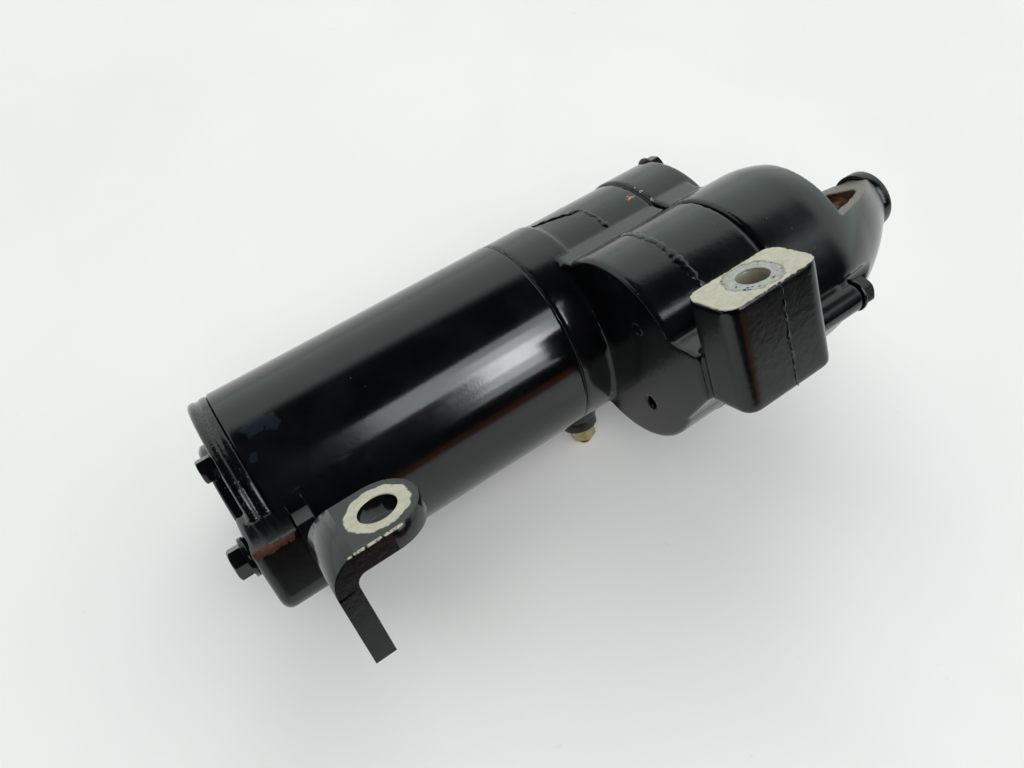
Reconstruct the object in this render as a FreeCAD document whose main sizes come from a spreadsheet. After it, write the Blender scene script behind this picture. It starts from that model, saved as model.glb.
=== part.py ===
import FreeCAD, Part
import math
import os

import Sketcher

# Offset-drive starter motor.  Every piece is drawn in a workshop frame whose Z runs
# along the shafts towards the nose, X runs across and Y runs up.  One placement then
# turns each piece so that its shafts lie along +X, the mounting pad faces +Z and the
# origin sits at the mouth of the pad's bolt hole.

DIMS = {
    # mounting datum, measured from the motor axis and the drawing's rear end
    "hole_ahead": 175.7, "hole_side": 104.3, "pad_height": 34.5,
    # shaft centres
    "drive_side": -49.0, "drive_up": 1.0,
    # motor body
    "yoke_radius": 41.5, "yoke_bore": 37.5, "yoke_rear": 20.0, "yoke_front": 141.0,
    "gasket_radius": 40.9, "gasket_thick": 0.6, "edge_break": 0.8,
    "magnet_bore": 30.6, "magnet_outer": 37.4, "magnet_rear": 60.0, "magnet_front": 122.0,
    "magnet_angle": 46.0, "clip_thick": 1.0, "clip_wide": 4.5,
    "through_bolt_circle": 33.2, "through_bolt_angle": 123.8, "m6_radius": 2.95, "m6_hole": 3.3,
    # end cover
    "cover_rear": 12.0, "boss_rear": 7.5, "boss_radius": 26.0, "spigot_radius": 37.42,
    "ear_side": -46.0, "ear_reach": 11.5, "ear_low": -15.5, "ear_bolt_up": 6.5, "ear_top": 12.5,
    "ear_rear": 8.0, "ear_front": 24.4,
    # support bracket
    "bracket_thick": 6.0, "bracket_near": -120.6, "bracket_far": -96.6, "bracket_toe": 54.8,
    "bracket_foot": 5.8, "foot_height": 37.5, "bracket_hole_ahead": 43.6, "bracket_hole_side": -108.6,
    "mount_hole": 5.5, "bend_outer": 9.0,
    # gear case and nose
    "case_radius": 41.3, "lobe_radius": 37.7, "lobe_rear": 154.7, "seam": 203.0, "nose_rear": 203.8,
    "block_inner": -94.4, "block_outer": -115.0, "block_rear": 156.0, "block_front": 193.5,
    "block_low": -4.0,
    "solenoid_bore": 31.5, "solenoid_floor": 158.7, "case_wall": 34.6,
    "nose_radius": 38.2, "nose_flank": 41.2, "nose_shoulder": 283.7, "nose_spigot": 11.15,
    "nose_end": 287.4,
    "window_rear": 241.5, "window_level": 10.0, "window_tilt": 16.5,
    "bolt_face": 232.0, "flank_face": 226.0, "nose_bolt_hole": 3.2,
    # shafts and gears
    "gear_module": 1.5, "gear_pressure": 25.0, "gear_thin": 0.09,
    "sun_teeth": 10, "idler_teeth": 17, "clutch_teeth": 34,
    "pinion_module": 2.5, "pinion_teeth": 10, "pinion_rear": 243.5, "pinion_front": 257.5,
    "armature_radius": 29.8, "shaft_radius": 8.0,
    # battery terminal, heights measured upward from the motor axis
    "stud_side": -8.0, "stud_ahead": 148.0, "stud_boss": -42.0, "stud_end": -56.0,
    "stud_radius": 2.95, "nut_seat": -46.65,
    # running fits
    "fit": 0.02, "gap": 0.05,
}

doc = FreeCAD.newDocument("starter_motor")
sheet = doc.addObject("Spreadsheet::Sheet", "Dims")
for row, (alias, number) in enumerate(DIMS.items(), start=1):
    sheet.set("A%d" % row, alias)
    sheet.set("B%d" % row, str(number))
    sheet.setAlias("B%d" % row, alias)
doc.recompute()

PIECES = []
SERIAL = {"count": 0}


# ---------------------------------------------------------------- sizes and placement

def value(text):
    """Number given by a sum of sheet names and plain numbers, such as 'seam - 2'."""
    total, sign = 0.0, 1.0
    for word in str(text).split():
        if word in "+-":
            sign = 1.0 if word == "+" else -1.0
        else:
            total += sign * float(DIMS.get(word, 0.0) if word in DIMS else word)
    return total


def formula(text):
    """The same sum written for the sheet."""
    return " ".join("Dims." + word if word in DIMS else word for word in str(text).split())


def bind(obj, prop, text):
    if any(word in DIMS for word in str(text).split()):
        obj.setExpression(prop, formula(text))


def fresh(stem):
    SERIAL["count"] += 1
    return "%s_%d" % (stem, SERIAL["count"])


def base_at(obj, x=0, y=0, z=0, turn=0.0, axis=(0, 0, 1)):
    """Places a building block inside the workshop frame."""
    spin = FreeCAD.Rotation(FreeCAD.Vector(*axis), turn)
    obj.Placement = FreeCAD.Placement(FreeCAD.Vector(value(x), value(y), value(z)), spin)
    for prop, text in (("Placement.Base.x", x), ("Placement.Base.y", y), ("Placement.Base.z", z)):
        bind(obj, prop, text)
    return obj


def keep(obj, label):
    """Labels a finished piece and turns it into the mounting frame."""
    obj.Label = label
    spin = FreeCAD.Rotation(FreeCAD.Vector(1, 1, 1), 120)
    old = obj.Placement
    corner = FreeCAD.Vector(-DIMS["hole_ahead"], DIMS["hole_side"], -DIMS["pad_height"])
    shift = FreeCAD.Placement(corner, spin)
    x, y, z = old.Base
    whole = shift.multiply(old)
    for prop in ("Placement.Base.x", "Placement.Base.y", "Placement.Base.z"):
        obj.setExpression(prop, None)
    obj.Placement = whole
    obj.setExpression("Placement.Base.x", "%.6f - Dims.hole_ahead" % z)
    obj.setExpression("Placement.Base.y", "%.6f + Dims.hole_side" % x)
    obj.setExpression("Placement.Base.z", "%.6f - Dims.pad_height" % y)
    PIECES.append(obj)
    return obj


# ---------------------------------------------------------------- drawing helpers

def outline(sketch, points):
    """Closed polygon in a sketch, each corner held by sums from the sheet."""
    corners = [(value(a), value(b)) for a, b in points]
    count = len(corners)
    for i in range(count):
        here, there = corners[i], corners[(i + 1) % count]
        sketch.addGeometry(Part.LineSegment(FreeCAD.Vector(*here, 0), FreeCAD.Vector(*there, 0)))
    for i in range(count):
        sketch.addConstraint(Sketcher.Constraint("Coincident", i, 2, (i + 1) % count, 1))
    for i, (a, b) in enumerate(points):
        across = ("DistanceX", a, corners[i][0], -2)
        upward = ("DistanceY", b, corners[i][1], -1)
        for kind, text, number, line in (across, upward):
            if abs(number) < 1e-9:
                sketch.addConstraint(Sketcher.Constraint("PointOnObject", i, 1, line))
                continue
            index = sketch.addConstraint(Sketcher.Constraint(kind, -1, 1, i, 1, number))
            bind(sketch, "Constraints[%d]" % index, text)


def body_plane(body, role):
    return next(f for f in body.Origin.OriginFeatures if f.Role == role)


def lathe(points, x=0, y=0):
    """Turned piece: (radius, height) corners revolved about the shaft direction."""
    body = doc.addObject("PartDesign::Body", fresh("turned"))
    sketch = body.newObject("Sketcher::SketchObject", fresh("turned_profile"))
    sketch.AttachmentSupport = [(body_plane(body, "XZ_Plane"), "")]
    sketch.MapMode = "FlatFace"
    outline(sketch, points)
    turn = body.newObject("PartDesign::Revolution", fresh("turned_solid"))
    turn.Profile = sketch
    turn.ReferenceAxis = (sketch, ["V_Axis"])
    turn.Angle = 360.0
    body.Tip = turn
    return base_at(body, x, y)


def ring(inner, outer, low, high, x=0, y=0):
    return lathe([(inner, low), (outer, low), (outer, high), (inner, high)], x, y)


def rod(radius, low, high, x=0, y=0):
    tool = doc.addObject("Part::Cylinder", fresh("rod"))
    tool.Radius = value(radius)
    tool.Height = value(high) - value(low)
    bind(tool, "Radius", radius)
    return base_at(tool, x, y, low)


def block(x0, x1, y0, y1, z0, z1):
    tool = doc.addObject("Part::Box", fresh("block"))
    tool.Length = value(x1) - value(x0)
    tool.Width = value(y1) - value(y0)
    tool.Height = value(z1) - value(z0)
    return base_at(tool, x0, y0, z0)


def plate(points, low, high):
    """Flat piece: a polygon padded along the shafts."""
    body = doc.addObject("PartDesign::Body", fresh("flat"))
    sketch = body.newObject("Sketcher::SketchObject", fresh("flat_profile"))
    sketch.AttachmentSupport = [(body_plane(body, "XY_Plane"), "")]
    sketch.MapMode = "FlatFace"
    outline(sketch, points)
    pad = body.newObject("PartDesign::Pad", fresh("flat_pad"))
    pad.Profile = sketch
    pad.Length = value(high) - value(low)
    body.Tip = pad
    return base_at(body, 0, 0, low)


def tube(inner, outer, height):
    return cut(rod(outer, 0, height), rod(inner, -1, value(height) + 1))


def upright(tool, x, y, z):
    """Stands a tool drawn along the shafts on end, so that it rises from the given point."""
    tool.Placement = FreeCAD.Placement(
        FreeCAD.Vector(value(x), value(y), value(z)), FreeCAD.Rotation(FreeCAD.Vector(1, 0, 0), -90))
    for prop, text in (("Placement.Base.x", x), ("Placement.Base.y", y), ("Placement.Base.z", z)):
        bind(tool, prop, text)
    return tool


def fuse(*shapes):
    joined = doc.addObject("Part::MultiFuse", fresh("joined"))
    joined.Shapes = list(shapes)
    return joined


def cut(base, *tools):
    result = doc.addObject("Part::Cut", fresh("cut"))
    result.Base = base
    result.Tool = tools[0] if len(tools) == 1 else fuse(*tools)
    return result


def group(shapes):
    bundle = doc.addObject("Part::Compound", fresh("group"))
    bundle.Links = list(shapes)
    return bundle


def ready(shape):
    """Shape as a feature of its own, for forms with no matching tool."""
    feature = doc.addObject("Part::Feature", fresh("formed"))
    feature.Shape = shape
    return feature


def polar(radius, degrees, x=0, y=0):
    angle = math.radians(degrees)
    return value(x) + value(radius) * math.cos(angle), value(y) + value(radius) * math.sin(angle)


def soften(solid, radius, wanted):
    """Rounds the edges of a solid that a test on each edge picks out."""
    doc.recompute()
    picked = [i for i, edge in enumerate(solid.Shape.Edges, start=1) if wanted(edge)]
    rounded = doc.addObject("Part::Fillet", fresh("rounded"))
    rounded.Base = solid
    rounded.Edges = [(i, radius, radius) for i in picked]
    doc.recompute()
    if not picked or rounded.Shape.isNull() or not rounded.Shape.isValid():
        print("edges left sharp on", solid.Name, len(picked))
        doc.removeObject(rounded.Name)
        return solid
    return rounded


def hex_bolt(x, y, face, flats, head, shank, tip, down=False):
    """Hexagon bolt: head below the face when down, otherwise above it."""
    size = doc.addObject("Part::Prism", fresh("hexagon"))
    size.Polygon = 6
    size.Circumradius = flats / math.sqrt(3)
    size.Height = head
    base_at(size, x, y, value(face) - head if down else value(face), 15)
    low, high = (value(face) - 0.5, tip) if down else (tip, value(face) + 0.5)
    return fuse(size, rod(shank, low, high, x, y))


def ball_bearing(name, bore, outer, low, high, balls, x=0, y=0):
    """Deep-groove bearing as two grooved rings and a set of balls."""
    pitch = (bore + outer) / 2.0
    ball = (outer - bore) * 0.28
    middle = (value(low) + value(high)) / 2.0
    land = ball * 0.62
    groove = ball + DIMS["gap"]
    bend = race_bend(pitch, middle, groove, land)
    outer_ring = [(outer, low), (pitch + land, low)] + [(2 * pitch - r, z) for r, z in bend]
    inner_ring = [(bore, low), (pitch - land, low)] + bend
    keep(lathe(outer_ring + [(pitch + land, high), (outer, high)], x, y), name + "_outer_ring")
    keep(lathe(inner_ring + [(pitch - land, high), (bore, high)], x, y), name + "_inner_ring")
    spheres = []
    for i in range(balls):
        sphere = doc.addObject("Part::Sphere", fresh("ball"))
        sphere.Radius = ball
        bx, by = polar(pitch, 360.0 * i / balls, x, y)
        spheres.append(base_at(sphere, bx, by, middle))
    keep(group(spheres), name + "_balls")


def race_bend(pitch, middle, groove, land):
    """Section of an inner ring's ball groove, from its rear edge to its front edge."""
    reach = math.acos(land / groove)
    steps = 8
    turns = [reach * (2.0 * i / steps - 1.0) for i in range(steps + 1)]
    return [(pitch - groove * math.cos(t), middle + groove * math.sin(t)) for t in turns]


def involute_gear(teeth, module, pressure, thin, low, high, first_tooth, x, y, bore=0.0):
    """Spur gear with involute flanks; thin is taken off each tooth for backlash."""
    pitch = teeth * module / 2.0
    base = pitch * math.cos(math.radians(pressure))
    tip = pitch + module
    root = pitch - 1.25 * module

    def spread(radius):
        angle = math.acos(min(1.0, base / radius))
        return math.tan(angle) - angle

    half = math.pi / (2 * teeth) + spread(pitch) - thin / (2 * pitch)
    start = max(base, root)
    radii = [start + (tip - start) * (k / 8.0) ** 1.5 for k in range(9)]
    edges = []
    for n in range(teeth):
        centre = math.radians(first_tooth) + 2 * math.pi * n / teeth

        def at(radius, angle):
            return FreeCAD.Vector(radius * math.cos(angle), radius * math.sin(angle), 0)

        rise = [at(r, centre - half + spread(r)) for r in radii]
        fall = [at(r, centre + half - spread(r)) for r in reversed(radii)]
        foot_in = at(root, centre - half)
        foot_out = at(root, centre + half)
        if root < base - 1e-6:
            edges.append(Part.LineSegment(foot_in, rise[0]).toShape())
        for curve_points in (rise, fall):
            curve = Part.BSplineCurve()
            curve.interpolate(curve_points)
            if curve_points is fall:
                edges.append(Part.Arc(rise[-1], at(tip, centre), fall[0]).toShape())
            edges.append(curve.toShape())
        if root < base - 1e-6:
            edges.append(Part.LineSegment(fall[-1], foot_out).toShape())
        last = foot_out if root < base - 1e-6 else fall[-1]
        following = centre + 2 * math.pi / teeth - half
        if root < base - 1e-6:
            next_foot = at(root, following)
        else:
            next_foot = at(start, following + spread(start))
        middle = at(root if root < base else start, centre + math.pi / teeth)
        edges.append(Part.Arc(last, middle, next_foot).toShape())
    face = Part.Face(Part.Wire(Part.__sortEdges__(edges)))
    solid = face.extrude(FreeCAD.Vector(0, 0, value(high) - value(low)))
    gear = base_at(ready(solid), x, y, low)
    return cut(gear, rod(bore, value(low) - 1, value(high) + 1, x, y)) if bore else gear


def reduction_gear(teeth, low, high, first_tooth, x, y, bore=0.0):
    """Gear of the train between the motor and the clutch."""
    return involute_gear(
        DIMS[teeth], DIMS["gear_module"], DIMS["gear_pressure"], DIMS["gear_thin"],
        low, high, first_tooth, x, y, bore)


def coil_spring(radius, wire, low, high, turns, x=0, y=0):
    pitch = (value(high) - value(low) - 2 * wire) / turns
    helix = Part.makeHelix(pitch, pitch * turns, radius)
    section = Part.Wire(Part.makeCircle(wire, FreeCAD.Vector(radius, 0, 0), FreeCAD.Vector(0, 1, 0)))
    solid = Part.Wire(helix.Edges).makePipeShell([section], True, True)
    return base_at(ready(solid), x, y, value(low) + wire)


def cable(points, radius):
    """Round insulated lead along a smooth line through the given points."""
    path = Part.BSplineCurve()
    path.interpolate([FreeCAD.Vector(*p) for p in points])
    edge = path.toShape()
    tangent = edge.tangentAt(edge.FirstParameter)
    section = Part.Wire(Part.makeCircle(radius, FreeCAD.Vector(*points[0]), tangent))
    return ready(Part.Wire(edge).makePipeShell([section], True, True))


# ---------------------------------------------------------------- motor body

def motor_shell():
    broken = "yoke_radius - edge_break"
    shell = lathe([
        ("yoke_bore", "yoke_rear"), (broken, "yoke_rear"), ("yoke_radius", "yoke_rear + edge_break"),
        ("yoke_radius", "yoke_front - edge_break"), (broken, "yoke_front"), ("yoke_bore", "yoke_front")])
    keep(shell, "yoke_tube")
    low, high = "yoke_front + 0.02", "yoke_front + gasket_thick - 0.02"
    keep(ring("spigot_radius + 0.1", "gasket_radius", low, high), "front_gasket")


def magnets():
    arcs, clips = [], []
    width = DIMS["magnet_angle"]
    for i in range(6):
        middle = DIMS["through_bolt_angle"] + 30 + 60 * i
        pie = doc.addObject("Part::Cylinder", fresh("pie"))
        pie.Radius = DIMS["magnet_outer"]
        pie.Height = DIMS["magnet_front"] - DIMS["magnet_rear"]
        pie.Angle = width
        bind(pie, "Radius", "magnet_outer")
        bind(pie, "Angle", "magnet_angle")
        base_at(pie, 0, 0, "magnet_rear", middle - width / 2)
        arcs.append(cut(pie, rod("magnet_bore", "magnet_rear - 1", "magnet_front + 1")))
        if i % 3 == 2:
            continue
        strip = doc.addObject("Part::Box", fresh("strip"))
        strip.Length = DIMS["clip_thick"]
        strip.Width = DIMS["clip_wide"]
        strip.Height = DIMS["magnet_front"] - DIMS["magnet_rear"] + 4
        bind(strip, "Length", "clip_thick")
        bind(strip, "Width", "clip_wide")
        angle = middle + 30
        start = FreeCAD.Vector(36.0, -DIMS["clip_wide"] / 2, 0)
        spot = FreeCAD.Rotation(FreeCAD.Vector(0, 0, 1), angle).multVec(start)
        clips.append(base_at(strip, spot.x, spot.y, DIMS["magnet_rear"] - 2, angle))
    keep(group(arcs), "field_magnets")
    keep(group(clips), "magnet_clips")


def end_cover():
    shell = lathe([
        (0, "boss_rear"), ("boss_radius - 1.5", "boss_rear"), ("boss_radius", "boss_rear + 1.5"),
        ("boss_radius", "cover_rear"), ("yoke_radius - 1.5", "cover_rear"),
        ("yoke_radius - 0.3", "cover_rear + 1.2"), ("yoke_radius - 0.3", "cover_rear + 3"),
        ("yoke_radius - 1.1", "cover_rear + 3.5"), ("yoke_radius - 1.1", "cover_rear + 4.5"),
        ("yoke_radius - 0.3", "cover_rear + 5"), ("yoke_radius - 0.3", "yoke_rear - 0.8"),
        ("gasket_radius", "yoke_rear - 0.8"), ("gasket_radius", "yoke_rear - 0.02"),
        ("spigot_radius", "yoke_rear - 0.02"), ("spigot_radius", "yoke_rear + 4"), (34, "yoke_rear + 4"),
        (34, 15.5), (16, 15.5), (16, 18.7), ("13 + fit", 18.7), ("13 + fit", 10.3), (0, 10.3)])
    side = "ear_side"
    ear = block("ear_side - ear_reach", "ear_side + 16", "ear_low", "ear_top", "ear_rear", "ear_front")
    doc.recompute()
    outer = value("ear_side - ear_reach")
    ear = soften(ear, 8.0, lambda e: is_line_at(e, x=outer, y=value("ear_low")))
    ear = soften(ear, 3.5, lambda e: is_line_at(e, x=outer, z=value("ear_rear")))
    ear = soften(ear, 1.5, lambda e: is_line_at(e, x=outer, y=value("ear_top")))
    body = fuse(shell, cut(ear, rod("yoke_radius + 0.1", "cover_rear", "ear_front + 1"),
                           rod("boss_radius", 0, "ear_front")))
    bolts = [rod("m6_hole", 2, "ear_front + 1", side, "ear_bolt_up")]
    for turn in (0, 180):
        x, y = polar("through_bolt_circle", DIMS["through_bolt_angle"] + turn)
        bolts.append(rod("m6_hole", 2, 40, x, y))
    keep(cut(body, *bolts), "end_cover")


def is_line_at(edge, **spots):
    """Whether both ends of an edge lie at the given coordinates."""
    if len(edge.Vertexes) != 2:
        return False
    ends = [vertex.Point for vertex in edge.Vertexes]
    return all(abs(getattr(end, axis) - spot) < 1e-3 for axis, spot in spots.items() for end in ends)


def through_bolts():
    bolts = []
    for turn in (0, 180):
        x, y = polar("through_bolt_circle", DIMS["through_bolt_angle"] + turn)
        bolts.append(hex_bolt(x, y, "cover_rear", 8.0, 5.6, "m6_radius", 158.0, down=True))
    keep(group(bolts), "through_bolts")


def support_bracket():
    """Plate arm from the ear, bent forward into a foot just above the plane of the mounting pad."""
    thick = value("bracket_thick")
    rear, front = value("ear_front"), value("ear_front") + thick
    near, far, top = value("bracket_near"), value("bracket_far"), value("foot_height")
    arm = plate([
        (near, "bracket_foot"), (-66, -6), (-46, -9), (-43.6, -4), (-43.6, 2), (-44.6, 12), (-52, 15.5),
        (-60, 15.5), (-78, 21), (far, 28), (far, top), (near, top)], rear, front)
    foot = block(near, far, top - thick, top, rear, "bracket_toe - 12")
    toe = upright(rod(12.0, 0, thick), (near + far) / 2, top - thick, "bracket_toe - 12")
    bar = fuse(arm, foot, toe)
    doc.recompute()

    bar = soften(bar, value("bend_outer"), lambda e: is_line_at(e, y=top, z=rear))
    bar = soften(bar, value("bend_outer") - thick, lambda e: is_line_at(e, y=top - thick, z=front))
    hole = upright(rod("mount_hole", 0, 20), "bracket_hole_side", top - 10, "bracket_hole_ahead")
    bolt = rod("m6_radius + 0.02", rear - 2, front + 2, "ear_side", "ear_bolt_up")
    keep(cut(bar, hole, bolt), "support_bracket")
    keep(hex_bolt(value("ear_side"), value("ear_bolt_up"), value("ear_rear") - 1.8, 10.0, 4.6,
                  "m6_radius", front, down=True), "bracket_bolt")
    keep(ring(3.1, 7.0, value("ear_rear") - 1.78, value("ear_rear") - 0.02, "ear_side", "ear_bolt_up"),
         "bracket_bolt_washer")


# ---------------------------------------------------------------- gear case and nose

# across, up, tip, and the face under the head
HOUSING_BOLTS = [
    (10.0, 35.0, 150.0, "flank_face"), (8.0, -36.0, 150.0, "flank_face"),
    (36.3, -3.0, 150.0, "flank_face"), (-88.0, -6.5, 190.0, "bolt_face"),
]


def rear_casting():
    """Gear case: motor flange, solenoid lobe and the mounting block."""
    drive = ("drive_side", "drive_up")
    motor_side = lathe([
        (0, "yoke_front + gasket_thick"), ("case_radius - 0.5", "yoke_front + gasket_thick"),
        ("case_radius", "yoke_front + gasket_thick + 0.5"), ("case_radius", 160.5),
        ("case_radius - 0.9", 161.5), ("case_radius - 0.9", "seam"), (0, "seam")])
    spigot = rod("spigot_radius", "yoke_front - 5", "yoke_front + 2")
    lobe = lathe([
        (0, "lobe_rear"), ("lobe_radius - 1.2", "lobe_rear"), ("lobe_radius", "lobe_rear + 1.2"),
        ("lobe_radius", "seam"), (0, "seam")], *drive)
    mount = block("block_outer", "block_inner", "block_low", "pad_height", "block_rear", "block_front")
    mount = soften(mount, 5.0, is_block_corner)
    mount = soften(mount, 2.5, lambda e: is_line_at(e, y=value("block_low")))
    web = plate([(-66, 17.5), ("block_inner - 2", 14), ("block_inner - 2", -3.0), (-82, -17), (-66, -24)],
                "lobe_rear", "block_front - 3")
    buried = "block_inner - 1"
    gusset = plate([(-78, 20), (buried, 31), (buried, 12), (-80, 12)], 176.0, 179.5)
    bolt_boss = rod(5.6, "block_front - 6", "seam", -88.0, -6.5)
    valley = plate([(-38, 20), (-33, 33.6), (-22, 34.6), (-16, 20)], "lobe_rear", "seam")
    through_bosses = []
    for turn in (0, 180):
        x, y = polar("through_bolt_circle", DIMS["through_bolt_angle"] + turn)
        through_bosses.append(rod(6.0, "yoke_front - 1", 160.0, x, y))
    stud_boss = cut(upright(rod(8.8, 0, 6), "stud_side", "stud_boss", "stud_ahead"),
                    block(-20, 5, -44, -34, 130, "yoke_front + gasket_thick + 0.1"))
    outside = fuse(motor_side, spigot, lobe, mount, web, gusset, bolt_boss, valley, stud_boss)
    hollow = cut(rod("case_radius - 4.8", "yoke_front - 1", 188.0), rod("case_wall", 100, 210, *drive),
                 *through_bosses)
    tools = [
        hollow,
        rod("spigot_radius - 3.5", "yoke_front - 6", "yoke_front"),
        rod("solenoid_bore", "solenoid_floor", "seam + 1", *drive),
        rod(10.5, 180, 210), rod("16 + fit", 193.0, "seam + 1"),
        upright(rod("mount_hole", 0, 60), "- hole_side", -10, "hole_ahead"),
        rod(2.4, 150, 161, "drive_side - 12.1", "drive_up - 18.7"),
        upright(rod(4.6, 0, 20), "stud_side", -48.0, "stud_ahead"),
    ]
    for angle in (-35.0, 35.0):
        slot = block(20, 38, -4.5, 4.5, 173.5, 179.0)
        base_at(slot, *polar_block(20, -4.5, angle), 173.5, angle)
        tools.append(slot)
    for turn in (0, 180):
        x, y = polar("through_bolt_circle", DIMS["through_bolt_angle"] + turn)
        tools.append(rod("m6_radius + fit", "yoke_front - 6", 159.0, x, y))
    for x, y, depth, _ in HOUSING_BOLTS:
        tools.append(rod("m6_radius + fit", depth, "seam + 1", x, y))
    keep(cut(outside, *tools), "rear_casting")


def polar_block(x, y, degrees):
    """Corner of a block turned about the drive axis."""
    spot = FreeCAD.Rotation(FreeCAD.Vector(0, 0, 1), degrees).multVec(FreeCAD.Vector(x, y, 0))
    return DIMS["drive_side"] + spot.x, DIMS["drive_up"] + spot.y


def is_block_corner(edge):
    """Upright corners of the mounting block."""
    if len(edge.Vertexes) != 2:
        return False
    a, b = edge.Vertexes[0].Point, edge.Vertexes[1].Point
    return abs(a.y - b.y) > 20


def nose_housing():
    drive = ("drive_side", "drive_up")
    dome = lathe([
        (0, "nose_rear"), ("nose_radius - 0.6", "nose_rear"), ("nose_radius", "nose_rear + 0.6"),
        ("nose_radius", 234.0), (34.8, 245.5), (26.2, 264.5), (13.3, "nose_shoulder"),
        ("nose_spigot", "nose_shoulder"), ("nose_spigot", "nose_end"), (0, "nose_end")], *drive)
    for radius, height, sweep in (("nose_radius", 234.0, 38.0), (34.8, 245.5, 85.0), (26.2, 264.5, 110.0)):
        dome = soften(dome, sweep, lambda e: is_circle(e, radius, height))
    flank = lathe([
        (0, "nose_rear"), ("nose_flank - 0.6", "nose_rear"), ("nose_flank", "nose_rear + 0.6"),
        ("nose_flank", "flank_face - 1"), ("nose_flank - 1", "flank_face"), (29, "flank_face"),
        (27, 233.5), (18, 236), (0, 237)])
    boss = rod(5.8, "nose_rear", "bolt_face", -88.0, -6.5)
    web = plate([(-80, 8), (-88, 0), (-88, -12), (-80, -16)], "nose_rear", 226.0)
    valley = plate([(-38, 18), (-32.5, 34.5), (-21, 35.8), (-14, 18)], "nose_rear", 222.0)
    outside = fuse(dome, flank, boss, web, valley)
    chamber = lathe([
        (0, "nose_rear - 1"), (31.5, "nose_rear - 1"), (31.5, 221.8),
        ("23.5 + fit", 221.8), ("23.5 + fit", 233.2),
        (20, 233.2), (20, 240), (28, 240.5), (28.5, 246), (25.2, 257), (22.6, 262.5), (19, 269),
        (14, 273.2), (8.52, 273.2), (8.52, 290), (0, 290)], *drive)
    idler = idler_spot()
    tools = [
        chamber, rod(31.0, "nose_rear - 1", 223.4), rod(15.4, "nose_rear - 1", 223.4, *idler),
        rod("5 + fit", 222.0, 231.5, *idler), window_tool(), rod(7.2, "bolt_face", 262.0, -88.0, -6.5),
    ]
    for x, y, *_ in HOUSING_BOLTS:
        tools.append(rod("nose_bolt_hole", "nose_rear - 1", "bolt_face + 8", x, y))
    keep(cut(outside, *tools), "nose_housing")


def is_circle(edge, radius, height):
    curve = edge.Curve
    if not hasattr(curve, "Radius") or not hasattr(curve, "Center"):
        return False
    return abs(curve.Radius - value(radius)) < 0.01 and abs(curve.Center.z - value(height)) < 0.01


def window_tool():
    """Flat-sided cutter for the opening where the ring gear meets the pinion."""
    tool = block(0, 100, 0, 50, "window_rear", "nose_shoulder")
    tilt = -DIMS["window_tilt"]
    return base_at(tool, *polar_block(-50, DIMS["window_level"], tilt), "window_rear", tilt)


def gaskets_and_caps():
    drive = ("drive_side", "drive_up")
    low, high = value("seam") + 0.02, value("nose_rear") - 0.02
    sheet_metal = fuse(rod("case_radius - 1.2", low, high), rod("lobe_radius - 1.2", low, high, *drive))
    holes = [rod(33.0, low - 1, high + 1), rod(33.0, low - 1, high + 1, *drive)]
    for x, y, *_ in HOUSING_BOLTS[:3]:
        holes.append(rod("m6_radius + 0.3", low - 1, high + 1, x, y))
    keep(cut(sheet_metal, *holes), "seam_gasket")
    keep(ring("6 + fit", 8.5, 273.4, 287.2, *drive), "nose_bush")
    keep(lathe([
        (0, 287.6), ("nose_spigot + gap", 287.6), ("nose_spigot + gap", "nose_shoulder + gap"),
        (12.6, "nose_shoulder + gap"), (12.6, 288.3), (11.9, 289.0), (0, 289.0)], *drive), "nose_cap")
    keep(ring(12.6, 19.95, 234.0, 239.0, *drive), "drive_seal")


def housing_bolts():
    bolts, washers = [], []
    for x, y, depth, name in HOUSING_BOLTS:
        face = value(name)
        bolts.append(hex_bolt(x, y, face + 1.2, 10.0, 5.0, "m6_radius", depth + 0.5))
        washers.append(ring(3.1, 6.4, face + 0.02, face + 1.18, x, y))
    keep(group(bolts), "housing_bolts")
    keep(group(washers), "housing_bolt_washers")


# ---------------------------------------------------------------- armature and brushes

def armature_shaft():
    spindle = lathe([
        (0, 10.8), (4.98, 10.8), (4.98, 19.2), (8, 19.8), (8, 189.5), (7.48, 190), (7.48, 203),
        (5.4, 203.5), (5.4, 223), (0, 223)])
    sun = reduction_gear("sun_teeth", 204.5, 222.5, sun_phase(), 0, 0)
    keep(fuse(spindle, sun), "armature_shaft")


def armature_core():
    slots = []
    for i in range(20):
        angle = 18.0 * i
        slot = block(0, 8.5, -1.7, 1.7, 61, 121)
        corner = FreeCAD.Rotation(FreeCAD.Vector(0, 0, 1), angle).multVec(FreeCAD.Vector(20.5, -1.7, 0))
        slots.append(base_at(slot, corner.x, corner.y, 61, angle))
        mouth = block(0, 3, -0.7, 0.7, 61, 121)
        corner = FreeCAD.Rotation(FreeCAD.Vector(0, 0, 1), angle).multVec(FreeCAD.Vector(28.5, -0.7, 0))
        slots.append(base_at(mouth, corner.x, corner.y, 61, angle))
    keep(cut(ring("shaft_radius + fit", "armature_radius", 62, 120), *slots), "armature_core")


def armature_windings():
    pieces = [
        lathe([(17, 120.4), (27, 120.4), (28.8, 123), (28.8, 128), (26.5, 131), (19, 131), (17, 128)]),
        lathe([(17, 61.6), (27, 61.6), (28.8, 59), (28.8, 54), (26.5, 51), (19, 51), (17, 54)]),
    ]
    for i in range(20):
        angle = 18.0 * i
        bar = block(0, 7, -1.5, 1.5, 60, 122)
        corner = FreeCAD.Rotation(FreeCAD.Vector(0, 0, 1), angle).multVec(FreeCAD.Vector(21, -1.5, 0))
        pieces.append(base_at(bar, corner.x, corner.y, 60, angle))
    keep(fuse(*pieces), "armature_windings")


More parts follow.
